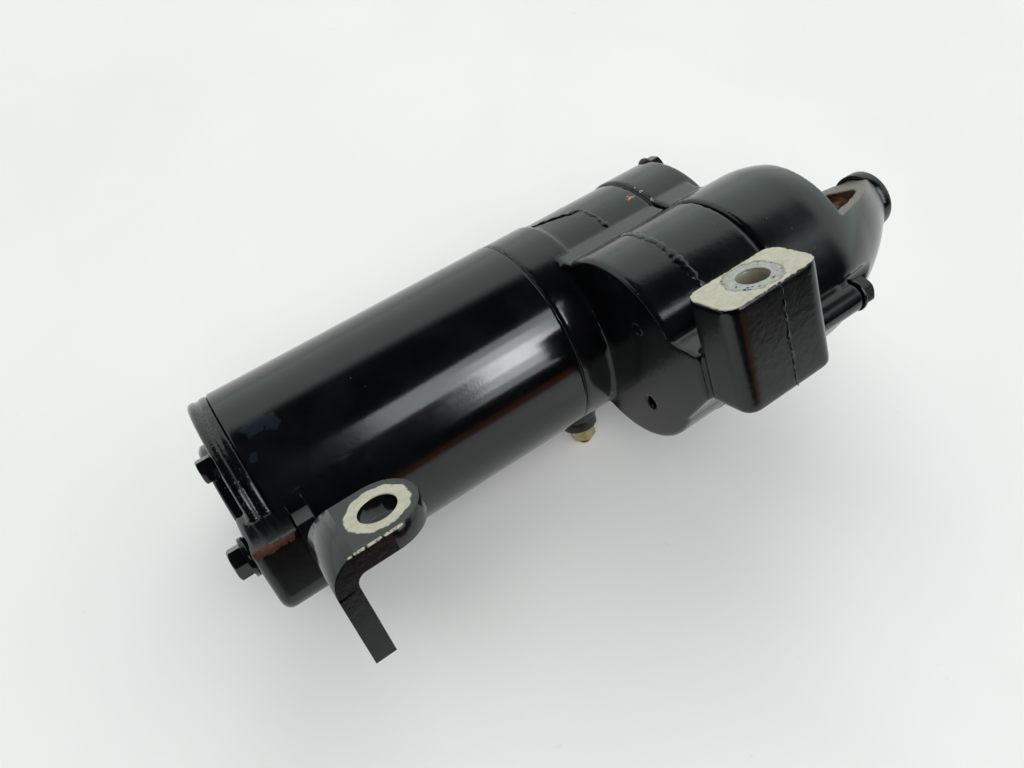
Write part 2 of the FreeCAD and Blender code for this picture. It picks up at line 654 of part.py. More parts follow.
def commutator():
    keep(ring("shaft_radius + fit", 13.0, 27, 49.5), "commutator_hub")
    copper = lathe([(13.02, 27.5), (19.5, 27.5), (19.5, 45), (24, 45), (24, 49), (13.02, 49)])
    blades = []
    for i in range(10):
        angle = 18.0 * i + 9.0
        blade = block(-30, 30, -0.25, 0.25, 26, 51)
        corner = FreeCAD.Rotation(FreeCAD.Vector(0, 0, 1), angle).multVec(FreeCAD.Vector(-30, -0.25, 0))
        blades.append(base_at(blade, corner.x, corner.y, 26, angle))
    keep(cut(copper, *blades), "commutator_bars")


def radial_block(angle, r0, r1, width, low, high):
    """Block standing out from the motor axis at an angle."""
    piece = block(0, r1 - r0, 0, width, low, high)
    start = FreeCAD.Vector(r0, -width / 2.0, 0)
    corner = FreeCAD.Rotation(FreeCAD.Vector(0, 0, 1), angle).multVec(start)
    return base_at(piece, corner.x, corner.y, low, angle)


def brush_gear():
    angles = [DIMS["through_bolt_angle"] - 45 + 90 * i for i in range(4)]
    holes = []
    for turn in (0, 180):
        x, y = polar("through_bolt_circle", DIMS["through_bolt_angle"] + turn)
        holes.append(rod("m6_radius + 0.4", 20, 30, x, y))
    keep(cut(ring(21.5, 36.5, 24.3, 26.8), *holes), "brush_plate")
    boxes, brushes, springs = [], [], []
    leaf = [(28.65, -3.8), (29.05, -3.8), (29.05, 2.75), (32.15, -3.8), (32.55, -3.8),
            (32.55, 3.8), (32.15, 3.8), (32.15, -2.75), (29.05, 3.8), (28.65, 3.8)]
    for angle in angles:
        shell = radial_block(angle, 21.5, 33.5, 11.0, 26.9, 43.0)
        boxes.append(cut(shell, radial_block(angle, 20.0, 32.6, 8.7, 28.2, 41.8)))
        brushes.append(radial_block(angle, 19.6, 28.6, 8.5, 28.4, 41.6))
        springs.append(base_at(plate(leaf, 31.0, 39.0), 0, 0, 31.0, angle))
    keep(group(boxes), "brush_holders")
    keep(group(brushes), "brushes")
    keep(group(springs), "brush_springs")


# ---------------------------------------------------------------- reduction gears and drive

def mesh_radius(first, second):
    return (DIMS[first] + DIMS[second]) * DIMS["gear_module"] / 2.0


def idler_spot():
    """Idler axis: at the meshing distance from both the motor and the drive axis."""
    near = mesh_radius("sun_teeth", "idler_teeth")
    far = mesh_radius("idler_teeth", "clutch_teeth")
    side, up = DIMS["drive_side"], DIMS["drive_up"]
    span = math.hypot(side, up)
    along = (near ** 2 - far ** 2 + span ** 2) / (2 * span)
    off = math.sqrt(near ** 2 - along ** 2)
    ux, uy = side / span, up / span
    return ux * along - uy * off, uy * along + ux * off


def bearing_from(x0, y0, x1, y1):
    return math.degrees(math.atan2(y1 - y0, x1 - x0))


def meshed_phase(driver_phase, driver_teeth, teeth, direction):
    """First-tooth angle of a gear lying in a direction from the gear that drives it."""
    lead = driver_phase - direction
    return direction + 180.0 + 180.0 / teeth - lead * driver_teeth / teeth


def sun_phase():
    x, y = idler_spot()
    return meshed_phase(0.0, DIMS["idler_teeth"], DIMS["sun_teeth"], bearing_from(x, y, 0, 0))


def clutch_phase():
    x, y = idler_spot()
    direction = bearing_from(x, y, DIMS["drive_side"], DIMS["drive_up"])
    return meshed_phase(0.0, DIMS["idler_teeth"], DIMS["clutch_teeth"], direction)


def idler():
    x, y = idler_spot()
    keep(reduction_gear("idler_teeth", 206.0, 221.0, 0.0, x, y, bore=7.5), "idler_gear")
    keep(rod(5.0, 204.6, 231.4, x, y), "idler_pin")
    rollers = []
    for i in range(12):
        rx, ry = polar(6.25, 30.0 * i, x, y)
        rollers.append(rod(1.2, 207.0, 220.0, rx, ry))
    keep(group(rollers), "idler_rollers")


def clutch():
    drive = ("drive_side", "drive_up")
    dx, dy = DIMS["drive_side"], DIMS["drive_up"]
    gear = reduction_gear("clutch_teeth", 205.0, 219.0, clutch_phase(), dx, dy)
    keep(cut(gear, rod("12.5 + gap", 204, 220, *drive), rod(17.9, 207, 220, *drive)), "clutch_gear")
    keep(ring("12.5 + gap", 17.85, 217.1, 218.9, *drive), "clutch_side_plate")
    rollers = []
    for i in range(9):
        rx, ry = polar(15.2, 40.0 * i, dx, dy)
        rollers.append(rod(2.6, 207.2, 216.9, rx, ry))
    keep(group(rollers), "clutch_rollers")
    sleeve = ring(8.05, 12.48, 197.5, 240.0, *drive)
    grooves = [spline(9.75, 2.8, 190, 250, i) for i in range(6)]
    keep(cut(sleeve, *grooves), "clutch_sleeve")
    ball_bearing("clutch_bearing", 12.5, 23.5, 222.2, 233.0, 10, dx, dy)


def spline(radius, width, low, high, index):
    """One straight spline rib about the drive axis."""
    angle = 60.0 * index
    rib = block(0, radius, 0, width, low, high)
    corner = FreeCAD.Rotation(FreeCAD.Vector(0, 0, 1), angle).multVec(FreeCAD.Vector(0, -width / 2.0, 0))
    return base_at(rib, DIMS["drive_side"] + corner.x, DIMS["drive_up"] + corner.y, low, angle)


def pinion():
    drive = ("drive_side", "drive_up")
    shaft = lathe([
        (0, 205.0), (7.4, 205.0), (7.95, 205.6), (7.95, 260.9), (6.0, 261.2), (6.0, 274.4),
        (5.2, 275.3), (0, 275.3)], *drive)
    ribs = [spline(9.6, 2.6, 206, 238, i) for i in range(6)]
    keep(fuse(shaft, *ribs), "pinion_shaft")
    gear = involute_gear(
        DIMS["pinion_teeth"], DIMS["pinion_module"], 20.0, 0.2, "pinion_rear", "pinion_front",
        18.0, DIMS["drive_side"], DIMS["drive_up"], bore=7.97)
    keep(gear, "drive_pinion")
    keep(ring(7.97, 10.2, 257.6, 260.4, *drive), "pinion_stop_ring")


# ---------------------------------------------------------------- solenoid and wiring

def solenoid():
    drive = ("drive_side", "drive_up")
    keep(lathe([
        (13.9, 181.2), (31, 181.2), (31, 182.4), (15.2, 182.4), (15.2, 191.4), (31, 191.4),
        (31, 192.8), (13.9, 192.8)], *drive), "coil_bobbin")
    keep(ring(15.3, 30.2, 182.5, 191.3, *drive), "solenoid_coil")
    keep(lathe([
        (3.1, 193.0), (31.45, 193.0), (31.45, 203.0), (14.55, 203.0), (14.55, 197.2), (3.1, 197.2)],
        *drive), "solenoid_front_plate")
    keep(ring(12.54, 14.5, 197.4, 203.4, *drive), "sleeve_bush")
    keep(lathe([
        (2.98, 163.2), (13.8, 163.2), (13.8, 178.0), (12.9, 178.9), (7.2, 178.9), (7.2, 167),
        (2.98, 167)], *drive), "plunger")
    keep(lathe([
        (0, 163.3), (2.95, 163.3), (2.95, 204.2), (2.2, 204.9), (0, 204.9)], *drive), "plunger_rod")
    keep(coil_spring(5.3, 0.7, 167.2, 192.9, 7, *drive), "plunger_spring")
    keep(lathe([(0, 159.3), (4.0, 159.3), (4.0, 162.5), (9, 162.5), (9, 163.1), (0, 163.1)], *drive),
         "contact_carrier")
    keep(ring(4.05, 27.0, 160.6, 162.4, *drive), "contact_disc")
    contacts = []
    for angle in (-35.0, 35.0):
        tab = block(0, 23.5, -4, 4, 174.6, 178.0)
        contacts.append(base_at(tab, *polar_block(17.5, -4, angle), 174.6, angle))
    keep(group(contacts), "fixed_contacts")


def terminal():
    """Battery stud through an insulator, with its flange nut, under the motor flange."""
    side, ahead = "stud_side", "stud_ahead"
    nut_low, head_low = value("nut_seat - 6.2"), -33.8
    shank = upright(rod("stud_radius", 0, head_low - nut_low), side, nut_low, ahead)
    free_end = upright(rod("stud_radius - 0.35", 0, nut_low - value("stud_end")), side, "stud_end", ahead)
    head = upright(rod(5.6, 0, 3.0), side, head_low, ahead)
    keep(fuse(shank, free_end, head), "battery_stud")
    collar = upright(tube("stud_radius + 0.07", 7.6, 4.6), side, "stud_boss - 4.62", ahead)
    sleeve = upright(tube("stud_radius + 0.07", 4.55, 8.4), side, "stud_boss - 0.5", ahead)
    keep(fuse(collar, sleeve), "stud_insulator")
    hexagon = doc.addObject("Part::Prism", fresh("hexagon"))
    hexagon.Polygon = 6
    hexagon.Circumradius = 10.0 / math.sqrt(3)
    hexagon.Height = 5.0
    flange = upright(rod(6.8, 0, 1.2), side, "nut_seat - 1.2", ahead)
    nut = fuse(upright(hexagon, side, nut_low, ahead), flange)
    keep(cut(nut, upright(rod("stud_radius + 0.05", 0, 12), side, "nut_seat - 8", ahead)), "battery_nut")


def wiring():
    battery = [(-8.0, -29.1, 149.0), (-9.5, -20.0, 158.0), (-11.5, 0.0, 163.5), (-14.5, 15.0, 166.0),
               (-16.9, 22.2, 169.5), (-17.2, 23.4, 174.4)]
    motor = [(-17.2, -21.6, 174.4), (-17.0, -22.0, 169.0), (-16.0, -24.8, 160.0), (-14.6, -27.7, 149.0),
             (-14.5, -28.2, 142.0), (-14.5, -28.4, 135.0), (-14.7, -29.6, 128.0), (-14.8, -30.1, 121.0),
             (-14.8, -30.1, 105.0), (-14.8, -30.1, 85.0), (-14.8, -30.1, 65.0), (-14.7, -30.3, 56.0),
             (-13.4, -31.4, 38.0)]
    keep(cable(battery, 1.6), "battery_lead")
    keep(cable(motor, 1.5), "motor_lead")


# ---------------------------------------------------------------- assembly

def build():
    motor_shell()
    magnets()
    end_cover()
    through_bolts()
    support_bracket()
    rear_casting()
    nose_housing()
    gaskets_and_caps()
    housing_bolts()
    armature_shaft()
    armature_core()
    armature_windings()
    commutator()
    brush_gear()
    ball_bearing("rear_bearing", 5.0, 13.0, 10.6, 18.6, 7)
    ball_bearing("front_bearing", 7.5, 16.0, 193.2, 202.2, 9)
    idler()
    clutch()
    pinion()
    solenoid()
    terminal()
    wiring()
    doc.recompute()


def export():
    bad = [o.Name for o in doc.Objects if "Invalid" in o.State or "Error" in o.State]
    for piece in PIECES:
        if piece.Shape.isNull() or not piece.Shape.isValid():
            bad.append(piece.Label)
    if bad:
        raise RuntimeError("not sound: " + ", ".join(bad))
    os.makedirs("parts", exist_ok=True)
    for piece in PIECES:
        piece.Shape.exportStep("parts/%s.step" % piece.Label)
        solids, volume = len(piece.Shape.Solids), piece.Shape.Volume
        print("%-24s solids %3d volume %10.1f" % (piece.Label, solids, volume))
    print(len(PIECES), "pieces")


build()
export()
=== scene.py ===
import math

import bpy
import numpy as np
from mathutils import Matrix, Vector, noise


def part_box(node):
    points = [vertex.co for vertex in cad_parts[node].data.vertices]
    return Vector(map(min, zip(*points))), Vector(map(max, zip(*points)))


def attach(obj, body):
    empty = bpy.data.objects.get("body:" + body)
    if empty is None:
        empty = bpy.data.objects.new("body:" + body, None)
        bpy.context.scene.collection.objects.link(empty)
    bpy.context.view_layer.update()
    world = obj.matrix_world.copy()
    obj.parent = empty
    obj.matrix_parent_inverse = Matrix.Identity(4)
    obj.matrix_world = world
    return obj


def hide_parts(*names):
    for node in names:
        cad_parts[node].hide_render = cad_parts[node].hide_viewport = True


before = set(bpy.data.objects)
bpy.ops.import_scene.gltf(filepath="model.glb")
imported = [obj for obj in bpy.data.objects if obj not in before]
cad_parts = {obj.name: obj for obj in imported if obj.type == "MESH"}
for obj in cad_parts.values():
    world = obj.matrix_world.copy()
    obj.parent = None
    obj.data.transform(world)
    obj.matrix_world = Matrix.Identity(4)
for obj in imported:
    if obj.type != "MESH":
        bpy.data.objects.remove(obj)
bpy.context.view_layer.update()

# Looks for the offset-drive starter motor.  Sizes are in millimetres and turned into
# metres where a mesh is made.  X runs along the shafts, Z out of the mounting face.

MM = 0.001
TABLE_UP = Vector((0.0, -0.569, 0.822)).normalized()
VIEW_RIGHT = Vector((0.819, -0.479, -0.316)).normalized()
TABLE_RIGHT = (VIEW_RIGHT - TABLE_UP * VIEW_RIGHT.dot(TABLE_UP)).normalized()
TABLE_FAR = TABLE_UP.cross(TABLE_RIGHT)

MOTOR_AXIS = (104.3, -34.5)
DRIVE_AXIS = (55.3, -33.5)
CASE_RADIUS = 41.3
YOKE_BORE, YOKE_SIDES = 37.5, 240
LOBE_RADIUS = 37.7
LOBE_REAR = -21.0
PARTING_X = 0.3
RIDGE_X, RIDGE_REAR = 5.8, -15.7
JOINT_X = -34.4
EJECTOR = (38.6, -18.7)
EJECTOR_RADIUS = 2.3
PAD_FRONT, PAD_REAR = 17.8, -19.7
PAD_OUTER, PAD_INNER = -10.7, 9.9
PAD_CORNER = 5.0
BLOCK_LOW = -38.5
HOLE_RADIUS = 5.5
BRACKET_HOLE = (-132.1, -4.3)
BRACKET_TOP = 3.0
BRACKET_NEAR = -16.3
WINDOW_TILT = math.radians(16.5)
WINDOW_LEVEL = 10.0
WINDOW_REAR, WINDOW_FRONT = 65.8, 108.0
CHAMBER_RADIUS = 29.0

FLOOR_GLOW = 0.13
FLOOR_ONLY, SHINE_ONLY = "floor", "shine"
SKY_AWAY, SKY_SIZE, SKY_TINT = 2.5, (2.0, 2.0), (1.0, 1.0, 0.99)


# ------------------------------------------------------------------ materials

class Look:
    """One node material, or a given node tree, with short calls for its nodes."""

    def __init__(self, name, tree=None):
        if tree is None:
            self.material = bpy.data.materials.new(name)
            self.material.use_nodes = True
            tree = self.material.node_tree
            self.shader = tree.nodes["Principled BSDF"]
        self.nodes, self.links = tree.nodes, tree.links
        self.place = self.nodes.new("ShaderNodeTexCoord").outputs["Object"]

    def feed(self, socket, value):
        if isinstance(value, bpy.types.NodeSocket):
            self.links.new(value, socket)
        elif isinstance(value, (tuple, list)) and socket.type == "RGBA" and len(value) == 3:
            socket.default_value = (*value, 1.0)
        else:
            socket.default_value = value

    def node(self, kind, inputs=(), out=0, **settings):
        made = self.nodes.new(kind)
        for key, value in settings.items():
            setattr(made, key, value)
        for key, value in dict(inputs).items():
            self.feed(made.inputs[key], value)
        return made.outputs[out]

    def math(self, operation, a, b=0.0, c=0.0):
        return self.node("ShaderNodeMath", {0: a, 1: b, 2: c}, operation=operation)

    def stretch(self, factors):
        return self.node("ShaderNodeVectorMath", {0: self.place, 1: factors}, operation="MULTIPLY")

    def noise(self, size, detail=3.0, rough=0.5, stretch=(1, 1, 1), warp=0.0):
        """Noise from 0 to 1 whose lumps are about size millimetres across."""
        inputs = {"Vector": self.stretch(stretch), "Scale": 1.0 / (size * MM), "Detail": detail,
                  "Roughness": rough, "Distortion": warp}
        return self.node("ShaderNodeTexNoise", inputs)

    def cells(self, size, out="Distance"):
        inputs = {"Vector": self.place, "Scale": 1.0 / (size * MM)}
        return self.node("ShaderNodeTexVoronoi", inputs, out=out)

    def ramp(self, value, low, high, to_low=0.0, to_high=1.0):
        inputs = {"Value": value, "From Min": low, "From Max": high, "To Min": to_low, "To Max": to_high}
        return self.node("ShaderNodeMapRange", inputs, interpolation_type="SMOOTHSTEP")

    def mix(self, share, a, b):
        made = self.nodes.new("ShaderNodeMix")
        made.data_type = "RGBA"
        self.feed(made.inputs[0], share)
        self.feed(made.inputs[6], a)
        self.feed(made.inputs[7], b)
        return made.outputs[2]

    def part(self, axis):
        split = self.nodes.new("ShaderNodeSeparateXYZ")
        self.links.new(self.place, split.inputs[0])
        return split.outputs[axis]

    def spot(self, centre, radius, ragged=0.5, size=2.0):
        """Mask that is 1 inside a ragged ball about a point."""
        point = tuple(c * MM for c in centre)
        away = self.node("ShaderNodeVectorMath", {0: self.place, 1: point}, out=1, operation="DISTANCE")
        wobble = self.ramp(self.noise(size, 4.0, 0.65), 0.25, 0.75, -ragged, ragged)
        reach = self.math("MULTIPLY_ADD", wobble, radius * MM, radius * MM)
        return self.ramp(self.math("SUBTRACT", reach, away), -0.05 * MM, 0.12 * MM)

    def most(self, masks):
        total = masks[0]
        for mask in masks[1:]:
            total = self.math("MAXIMUM", total, mask)
        return total

    def bump(self, height, depth, normal=None):
        """Normal for a height field of the given depth in millimetres."""
        inputs = {"Height": height, "Strength": 1.0, "Distance": depth * MM}
        if normal is not None:
            inputs["Normal"] = normal
        return self.node("ShaderNodeBump", inputs)

    def finish(self, **sockets):
        names = {"color": "Base Color", "metal": "Metallic", "rough": "Roughness", "normal": "Normal",
                 "coat": "Coat Weight", "coat_rough": "Coat Roughness", "specular": "Specular IOR Level",
                 "glow": "Emission Color", "glow_strength": "Emission Strength"}
        for key, value in sockets.items():
            self.feed(self.shader.inputs[names[key]], value)
        return self.material


BLACK = (0.0022, 0.0024, 0.0030)
RUST = (0.095, 0.032, 0.018)
PRIMER = (0.42, 0.11, 0.07)
BARE = (0.52, 0.49, 0.39)


def flecks(look, size, rarity):
    """Tiny scattered specks of dust and chipped paint."""
    near = look.ramp(look.cells(size), 0.035, 0.075, 1.0, 0.0)
    where = look.ramp(look.noise(size * 5.0, 2.0), rarity, rarity + 0.04)
    return look.math("MULTIPLY", near, where)


def paint_surface(look, gloss, lumps, lump_depth, grain_depth, stretch=(1, 1, 1)):
    """Roughness and normal shared by every black painted part."""
    smear = look.noise(22.0, 4.0, 0.6, warp=0.6)
    haze = look.noise(3.0, 3.0, 0.6)
    rough = look.math("MULTIPLY_ADD", look.ramp(smear, 0.42, 0.70), 0.025, gloss)
    rough = look.math("MULTIPLY_ADD", look.ramp(haze, 0.45, 0.75), 0.02, rough)
    peel = look.noise(lumps, 2.0, 0.45, stretch)
    grain = look.noise(0.55, 2.0, 0.6)
    normal = look.bump(peel, lump_depth)
    return rough, look.bump(grain, grain_depth, normal)


def painted(name, gloss=0.12, lumps=1.6, lump_depth=0.035, grain_depth=0.006, stretch=(1, 1, 1),
            chips=(), pale=(), rust=(), smudges=(), bare=None, lining=None, dust=0.62):
    """Gloss black paint with dust, chips and rust where they are asked for."""
    look = Look(name)
    rough, normal = paint_surface(look, gloss, lumps, lump_depth, grain_depth, stretch)
    tone = look.noise(14.0, 3.0)
    color = look.mix(look.ramp(tone, 0.35, 0.7), BLACK, (0.0045, 0.0048, 0.006))
    speck = flecks(look, 2.6, dust)
    color = look.mix(look.math("MULTIPLY", speck, 0.55), color, (0.30, 0.30, 0.28))
    rough = look.math("MAXIMUM", rough, look.math("MULTIPLY", speck, 0.6))
    if smudges:
        mask = look.math("MULTIPLY", look.most([look.spot(*s) for s in smudges]), 0.8)
        color = look.mix(mask, color, (0.009, 0.013, 0.019))
        rough = look.math("MULTIPLY_ADD", mask, 0.10, rough)
    layers = [(chips, PRIMER, (0.55, 0.30, 0.24), 0.65), (pale, BARE, (0.20, 0.17, 0.13), 0.7),
              (rust, RUST, (0.04, 0.016, 0.010), 0.85)]
    for spots, tint, other, dullness in layers:
        if not spots:
            continue
        mask = look.most([look.spot(*s) for s in spots])
        inside = look.mix(look.ramp(look.noise(0.8, 4.0, 0.7), 0.35, 0.65), tint, other)
        color = look.mix(mask, color, inside)
        rough = look.math("MAXIMUM", rough, look.math("MULTIPLY", mask, dullness))
        normal = look.bump(look.math("MULTIPLY", mask, -1.0), 0.10, normal)
    metal = 0.0
    if lining is not None:
        mask, tint, ridges = lining(look)
        color = look.mix(mask, color, tint)
        rough = look.math("MAXIMUM", rough, look.math("MULTIPLY", mask, 0.45))
        normal = look.bump(look.math("MULTIPLY", mask, ridges), 0.7, normal)
    if bare is not None:
        # The second value blends bare metal towards dark brown; in the pad's bolt hole it is painted
        # shade that deepens down the hole.
        mask, shade = bare(look)
        color = look.mix(mask, color, look.mix(shade, bare_tone(look), (0.10, 0.075, 0.065)))
        rough = look.math("MAXIMUM", rough, look.math("MULTIPLY", mask, 0.55))
        normal = look.bump(look.math("MULTIPLY", mask, -1.0), 0.12, normal)
        normal = look.bump(look.math("MULTIPLY", mask, look.noise(0.7, 4.0, 0.7)), 0.10, normal)
        metal = look.math("MULTIPLY", mask, 0.45)
    return look.finish(color=color, rough=rough, normal=normal, metal=metal)


def bare_tone(look):
    """Weathered bare iron: cream grey with darker stains."""
    stains = look.ramp(look.noise(3.5, 5.0, 0.65, warp=0.8), 0.35, 0.70)
    fine = look.ramp(look.noise(0.5, 3.0, 0.7), 0.3, 0.75)
    color = look.mix(stains, BARE, (0.41, 0.38, 0.31))
    color = look.mix(look.math("MULTIPLY", fine, 0.35), color, (0.60, 0.57, 0.47))
    yellow = look.ramp(look.noise(2.4, 4.0, 0.6), 0.60, 0.72)
    return look.mix(look.math("MULTIPLY", yellow, 0.45), color, (0.44, 0.36, 0.20))


def metal(name, color, rough=0.32, tint=None, grain=(1, 1, 1), grain_depth=0.01, stain=0.35):
    """Machined or plated metal with a drawn grain and a few stains."""
    look = Look(name)
    streak = look.noise(0.9, 3.0, 0.6, grain)
    cloud = look.ramp(look.noise(4.0, 4.0, 0.6), 0.42, 0.68)
    other = tint or tuple(c * 0.55 for c in color)
    shade = look.mix(look.math("MULTIPLY", cloud, stain), color, other)
    drawn = look.math("MULTIPLY", look.ramp(streak, 0.3, 0.8), 0.25)
    shade = look.mix(drawn, shade, tuple(c * 0.75 for c in color))
    dull = look.math("MULTIPLY_ADD", cloud, 0.16, rough)
    return look.finish(color=shade, metal=1.0, rough=dull, normal=look.bump(streak, grain_depth))


def moulded(name, color, rough=0.5, size=0.9, depth=0.02, other=None):
    """Plastic, rubber, carbon or ceramic with a fine skin."""
    look = Look(name)
    cloud = look.ramp(look.noise(5.0, 4.0, 0.6), 0.35, 0.7)
    skin = look.noise(size, 4.0, 0.6)
    shade = look.mix(cloud, color, other or tuple(c * 0.6 for c in color))
    dull = look.math("MULTIPLY_ADD", cloud, 0.15, rough)
    return look.finish(color=shade, rough=dull, normal=look.bump(skin, depth))


def woven(name, color):
    """Braided sleeving on the internal leads."""
    look = Look(name)
    weave = look.node("ShaderNodeTexWave", {"Vector": look.place, "Scale": 900.0, "Distortion": 4.0,
                                           "Detail": 2.0}, bands_direction="DIAGONAL")
    shade = look.mix(look.ramp(weave, 0.2, 0.8), color, tuple(c * 0.35 for c in color))
    return look.finish(color=shade, rough=0.8, normal=look.bump(weave, 0.15))


def wound(name, color, direction):
    """Enamelled copper wire laid side by side."""
    look = Look(name)
    wires = look.node("ShaderNodeTexWave", {"Vector": look.place, "Scale": 160.0, "Distortion": 0.5},
                      bands_direction=direction)
    shade = look.mix(look.ramp(wires, 0.1, 0.6), tuple(c * 0.3 for c in color), color)
    return look.finish(color=shade, metal=0.9, rough=0.32, normal=look.bump(wires, 0.25))


# ------------------------------------------------------------------ mesh helpers

def mesh_object(name, points, faces):
    """New smooth-shaded piece from points in millimetres, riding on the housing."""
    data = bpy.data.meshes.new(name)
    data.from_pydata([tuple(c * MM for c in p) for p in points], [], faces)
    data.validate()
    data.update()
    data.polygons.foreach_set("use_smooth", [True] * len(data.polygons))
    made = bpy.data.objects.new(name, data)
    bpy.context.scene.collection.objects.link(made)
    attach(made, "housing")
    return made


def loft(rings, closed=False, caps=True):
    """Points and faces of a skin through rings of equal length."""
    count = len(rings[0])
    points = [p for ring in rings for p in ring]
    faces = []
    spans = len(rings) if closed else len(rings) - 1
    for i in range(spans):
        a, b = i * count, ((i + 1) % len(rings)) * count
        for j in range(count):
            k = (j + 1) % count
            faces.append((a + j, a + k, b + k, b + j))
    if caps and not closed:
        faces.append(tuple(reversed(range(count))))
        faces.append(tuple((len(rings) - 1) * count + j for j in range(count)))
    return points, faces


def sharpen(made, degrees=35.0):
    """Keeps hard edges hard on a smooth-shaded mesh."""
    made.data.set_sharp_from_angle(angle=math.radians(degrees))


def islands(node):
    """Boxes, in millimetres, of the separate solids in a CAD node, ordered along Z."""
    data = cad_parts[node].data
    where = {}
    owner = []
    for vertex in data.vertices:
        key = tuple(round(c, 6) for c in vertex.co)
        owner.append(where.setdefault(key, len(where)))
    group = list(range(len(where)))

    def root(i):
        while group[i] != i:
            group[i] = group[group[i]]
            i = group[i]
        return i

    for a, b in (edge.vertices for edge in data.edges):
        group[root(owner[a])] = root(owner[b])
    boxes = {}
    for vertex, i in zip(data.vertices, owner):
        point = vertex.co / MM
        low, high = boxes.get(root(i), (point, point))
        boxes[root(i)] = (Vector(map(min, low, point)), Vector(map(max, high, point)))
    return sorted(boxes.values(), key=lambda b: (b[0].z, b[0].y))


# ------------------------------------------------------------------ threaded parts

ROUND = 60
M6_SHANK = 2.9
BRACKET_HEAD, THROUGH_HEAD, HOUSING_HEAD = 4.6, 5.6, 5.0


def hex_reach(angle, flats, turn):
    """Distance from the centre to the side of a hexagon in a direction."""
    sector = math.radians(60.0)
    local = (angle - turn + sector / 2) % sector - sector / 2
    return flats / 2 / math.cos(local)


def hex_profile(flats, length, turn, dish=0.35, chamfer=30.0):
    """Rings of a chamfered hexagon head from its seat to its dished top: (reach, height)."""
    flat_circle = flats / 2 * 0.96
    slope = math.tan(math.radians(chamfer))
    rings = []
    angles = [2 * math.pi * j / ROUND for j in range(ROUND)]
    reach = [hex_reach(a, flats, turn) for a in angles]
    shoulder = [length - max(0.0, r - flat_circle) * slope for r in reach]
    rings.append([(r * 0.97, 0.0) for r in reach])
    rings.append([(r, 0.18) for r in reach])
    rings.append([(r, h) for r, h in zip(reach, shoulder)])
    rings.append([(flat_circle, length)] * ROUND)
    rings.append([(flat_circle * 0.72, length)] * ROUND)
    rings.append([(flat_circle * 0.62, length - dish)] * ROUND)
    rings.append([(0.15, length - dish)] * ROUND)
    return rings


def threaded_rings(radius, start, end, pitch, depth):
    """Rings of a screw thread between two heights: (reach, height)."""
    steps = max(2, int(abs(end - start) / pitch * 7))
    rings = []
    for i in range(steps + 1):
        height = start + (end - start) * i / steps
        ring = []
        for j in range(ROUND):
            phase = (height / pitch + j / ROUND) % 1.0
            ring.append((radius - depth * abs(2 * phase - 1), height))
        rings.append(ring)
    return rings


def place_rings(rings, centre, axis, across):
    """Turns (reach, height) rings into points about an axis through a centre."""
    axis = Vector(axis).normalized()
    across = Vector(across).normalized()
    third = axis.cross(across)
    placed = []
    for ring in rings:
        row = []
        for j, (reach, height) in enumerate(ring):
            angle = 2 * math.pi * j / len(ring)
            side = across * math.cos(angle) + third * math.sin(angle)
            row.append(Vector(centre) + axis * height + side * reach)
        placed.append(row)
    return placed


def bolt(name, seat, axis, flats, head, shank, length, turn=0.3, pitch=1.0, across=(0, 0, 1)):
    """Hexagon bolt: the head stands along axis from the seat and the shank runs back."""
    plain = min(4.0, length * 0.3)
    rings = [[(0.2, -length)] * ROUND, [(shank - 0.7, -length)] * ROUND]
    rings += threaded_rings(shank, -length + 0.8, -plain, pitch, 0.55)
    rings += [[(shank, -plain + 0.4)] * ROUND, [(shank, 0.0)] * ROUND]
    rings += hex_profile(flats, head, turn)
    made = mesh_object(name, *loft(place_rings(rings, seat, axis, across)))
    sharpen(made, 38.0)
    return made


# ------------------------------------------------------------------ fasteners

def fasteners(paint, yellow, steel):
    """Visible bolts, nut and stud, each in the place of its CAD node."""
    black = []
    low, high = (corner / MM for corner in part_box("bracket_bolt"))
    centre = (low + high) / 2
    seat = (low.x + BRACKET_HEAD, centre.y, centre.z)
    bolt_piece = bolt("bracket_bolt_hex", seat, (-1, 0, 0), 10.0, BRACKET_HEAD, M6_SHANK,
                       high.x - seat[0])
    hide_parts("bracket_bolt")
    black.append(bolt_piece)
    for i, (low, high) in enumerate(islands("through_bolts"), start=1):
        centre = (low + high) / 2
        seat = (low.x + THROUGH_HEAD, centre.y, centre.z)
        reach = high.x - seat[0]
        piece = bolt("through_bolt_hex_%d" % i, seat, (-1, 0, 0), 8.0, THROUGH_HEAD, M6_SHANK,
                     reach, 0.1 * i)
        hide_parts("through_bolts")
        black.append(piece)
    for i, (low, high) in enumerate(islands("housing_bolts"), start=1):
        centre = (low + high) / 2
        seat = (high.x - HOUSING_HEAD, centre.y, centre.z)
        reach = seat[0] - low.x
        piece = bolt("housing_bolt_hex_%d" % i, seat, (1, 0, 0), 10.0, HOUSING_HEAD, M6_SHANK,
                     reach, 0.25 * i)
        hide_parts("housing_bolts")
        black.append(piece)
    for piece in black:
        piece.data.materials.append(paint)
    terminal_nut(yellow)
    terminal_stud(steel)


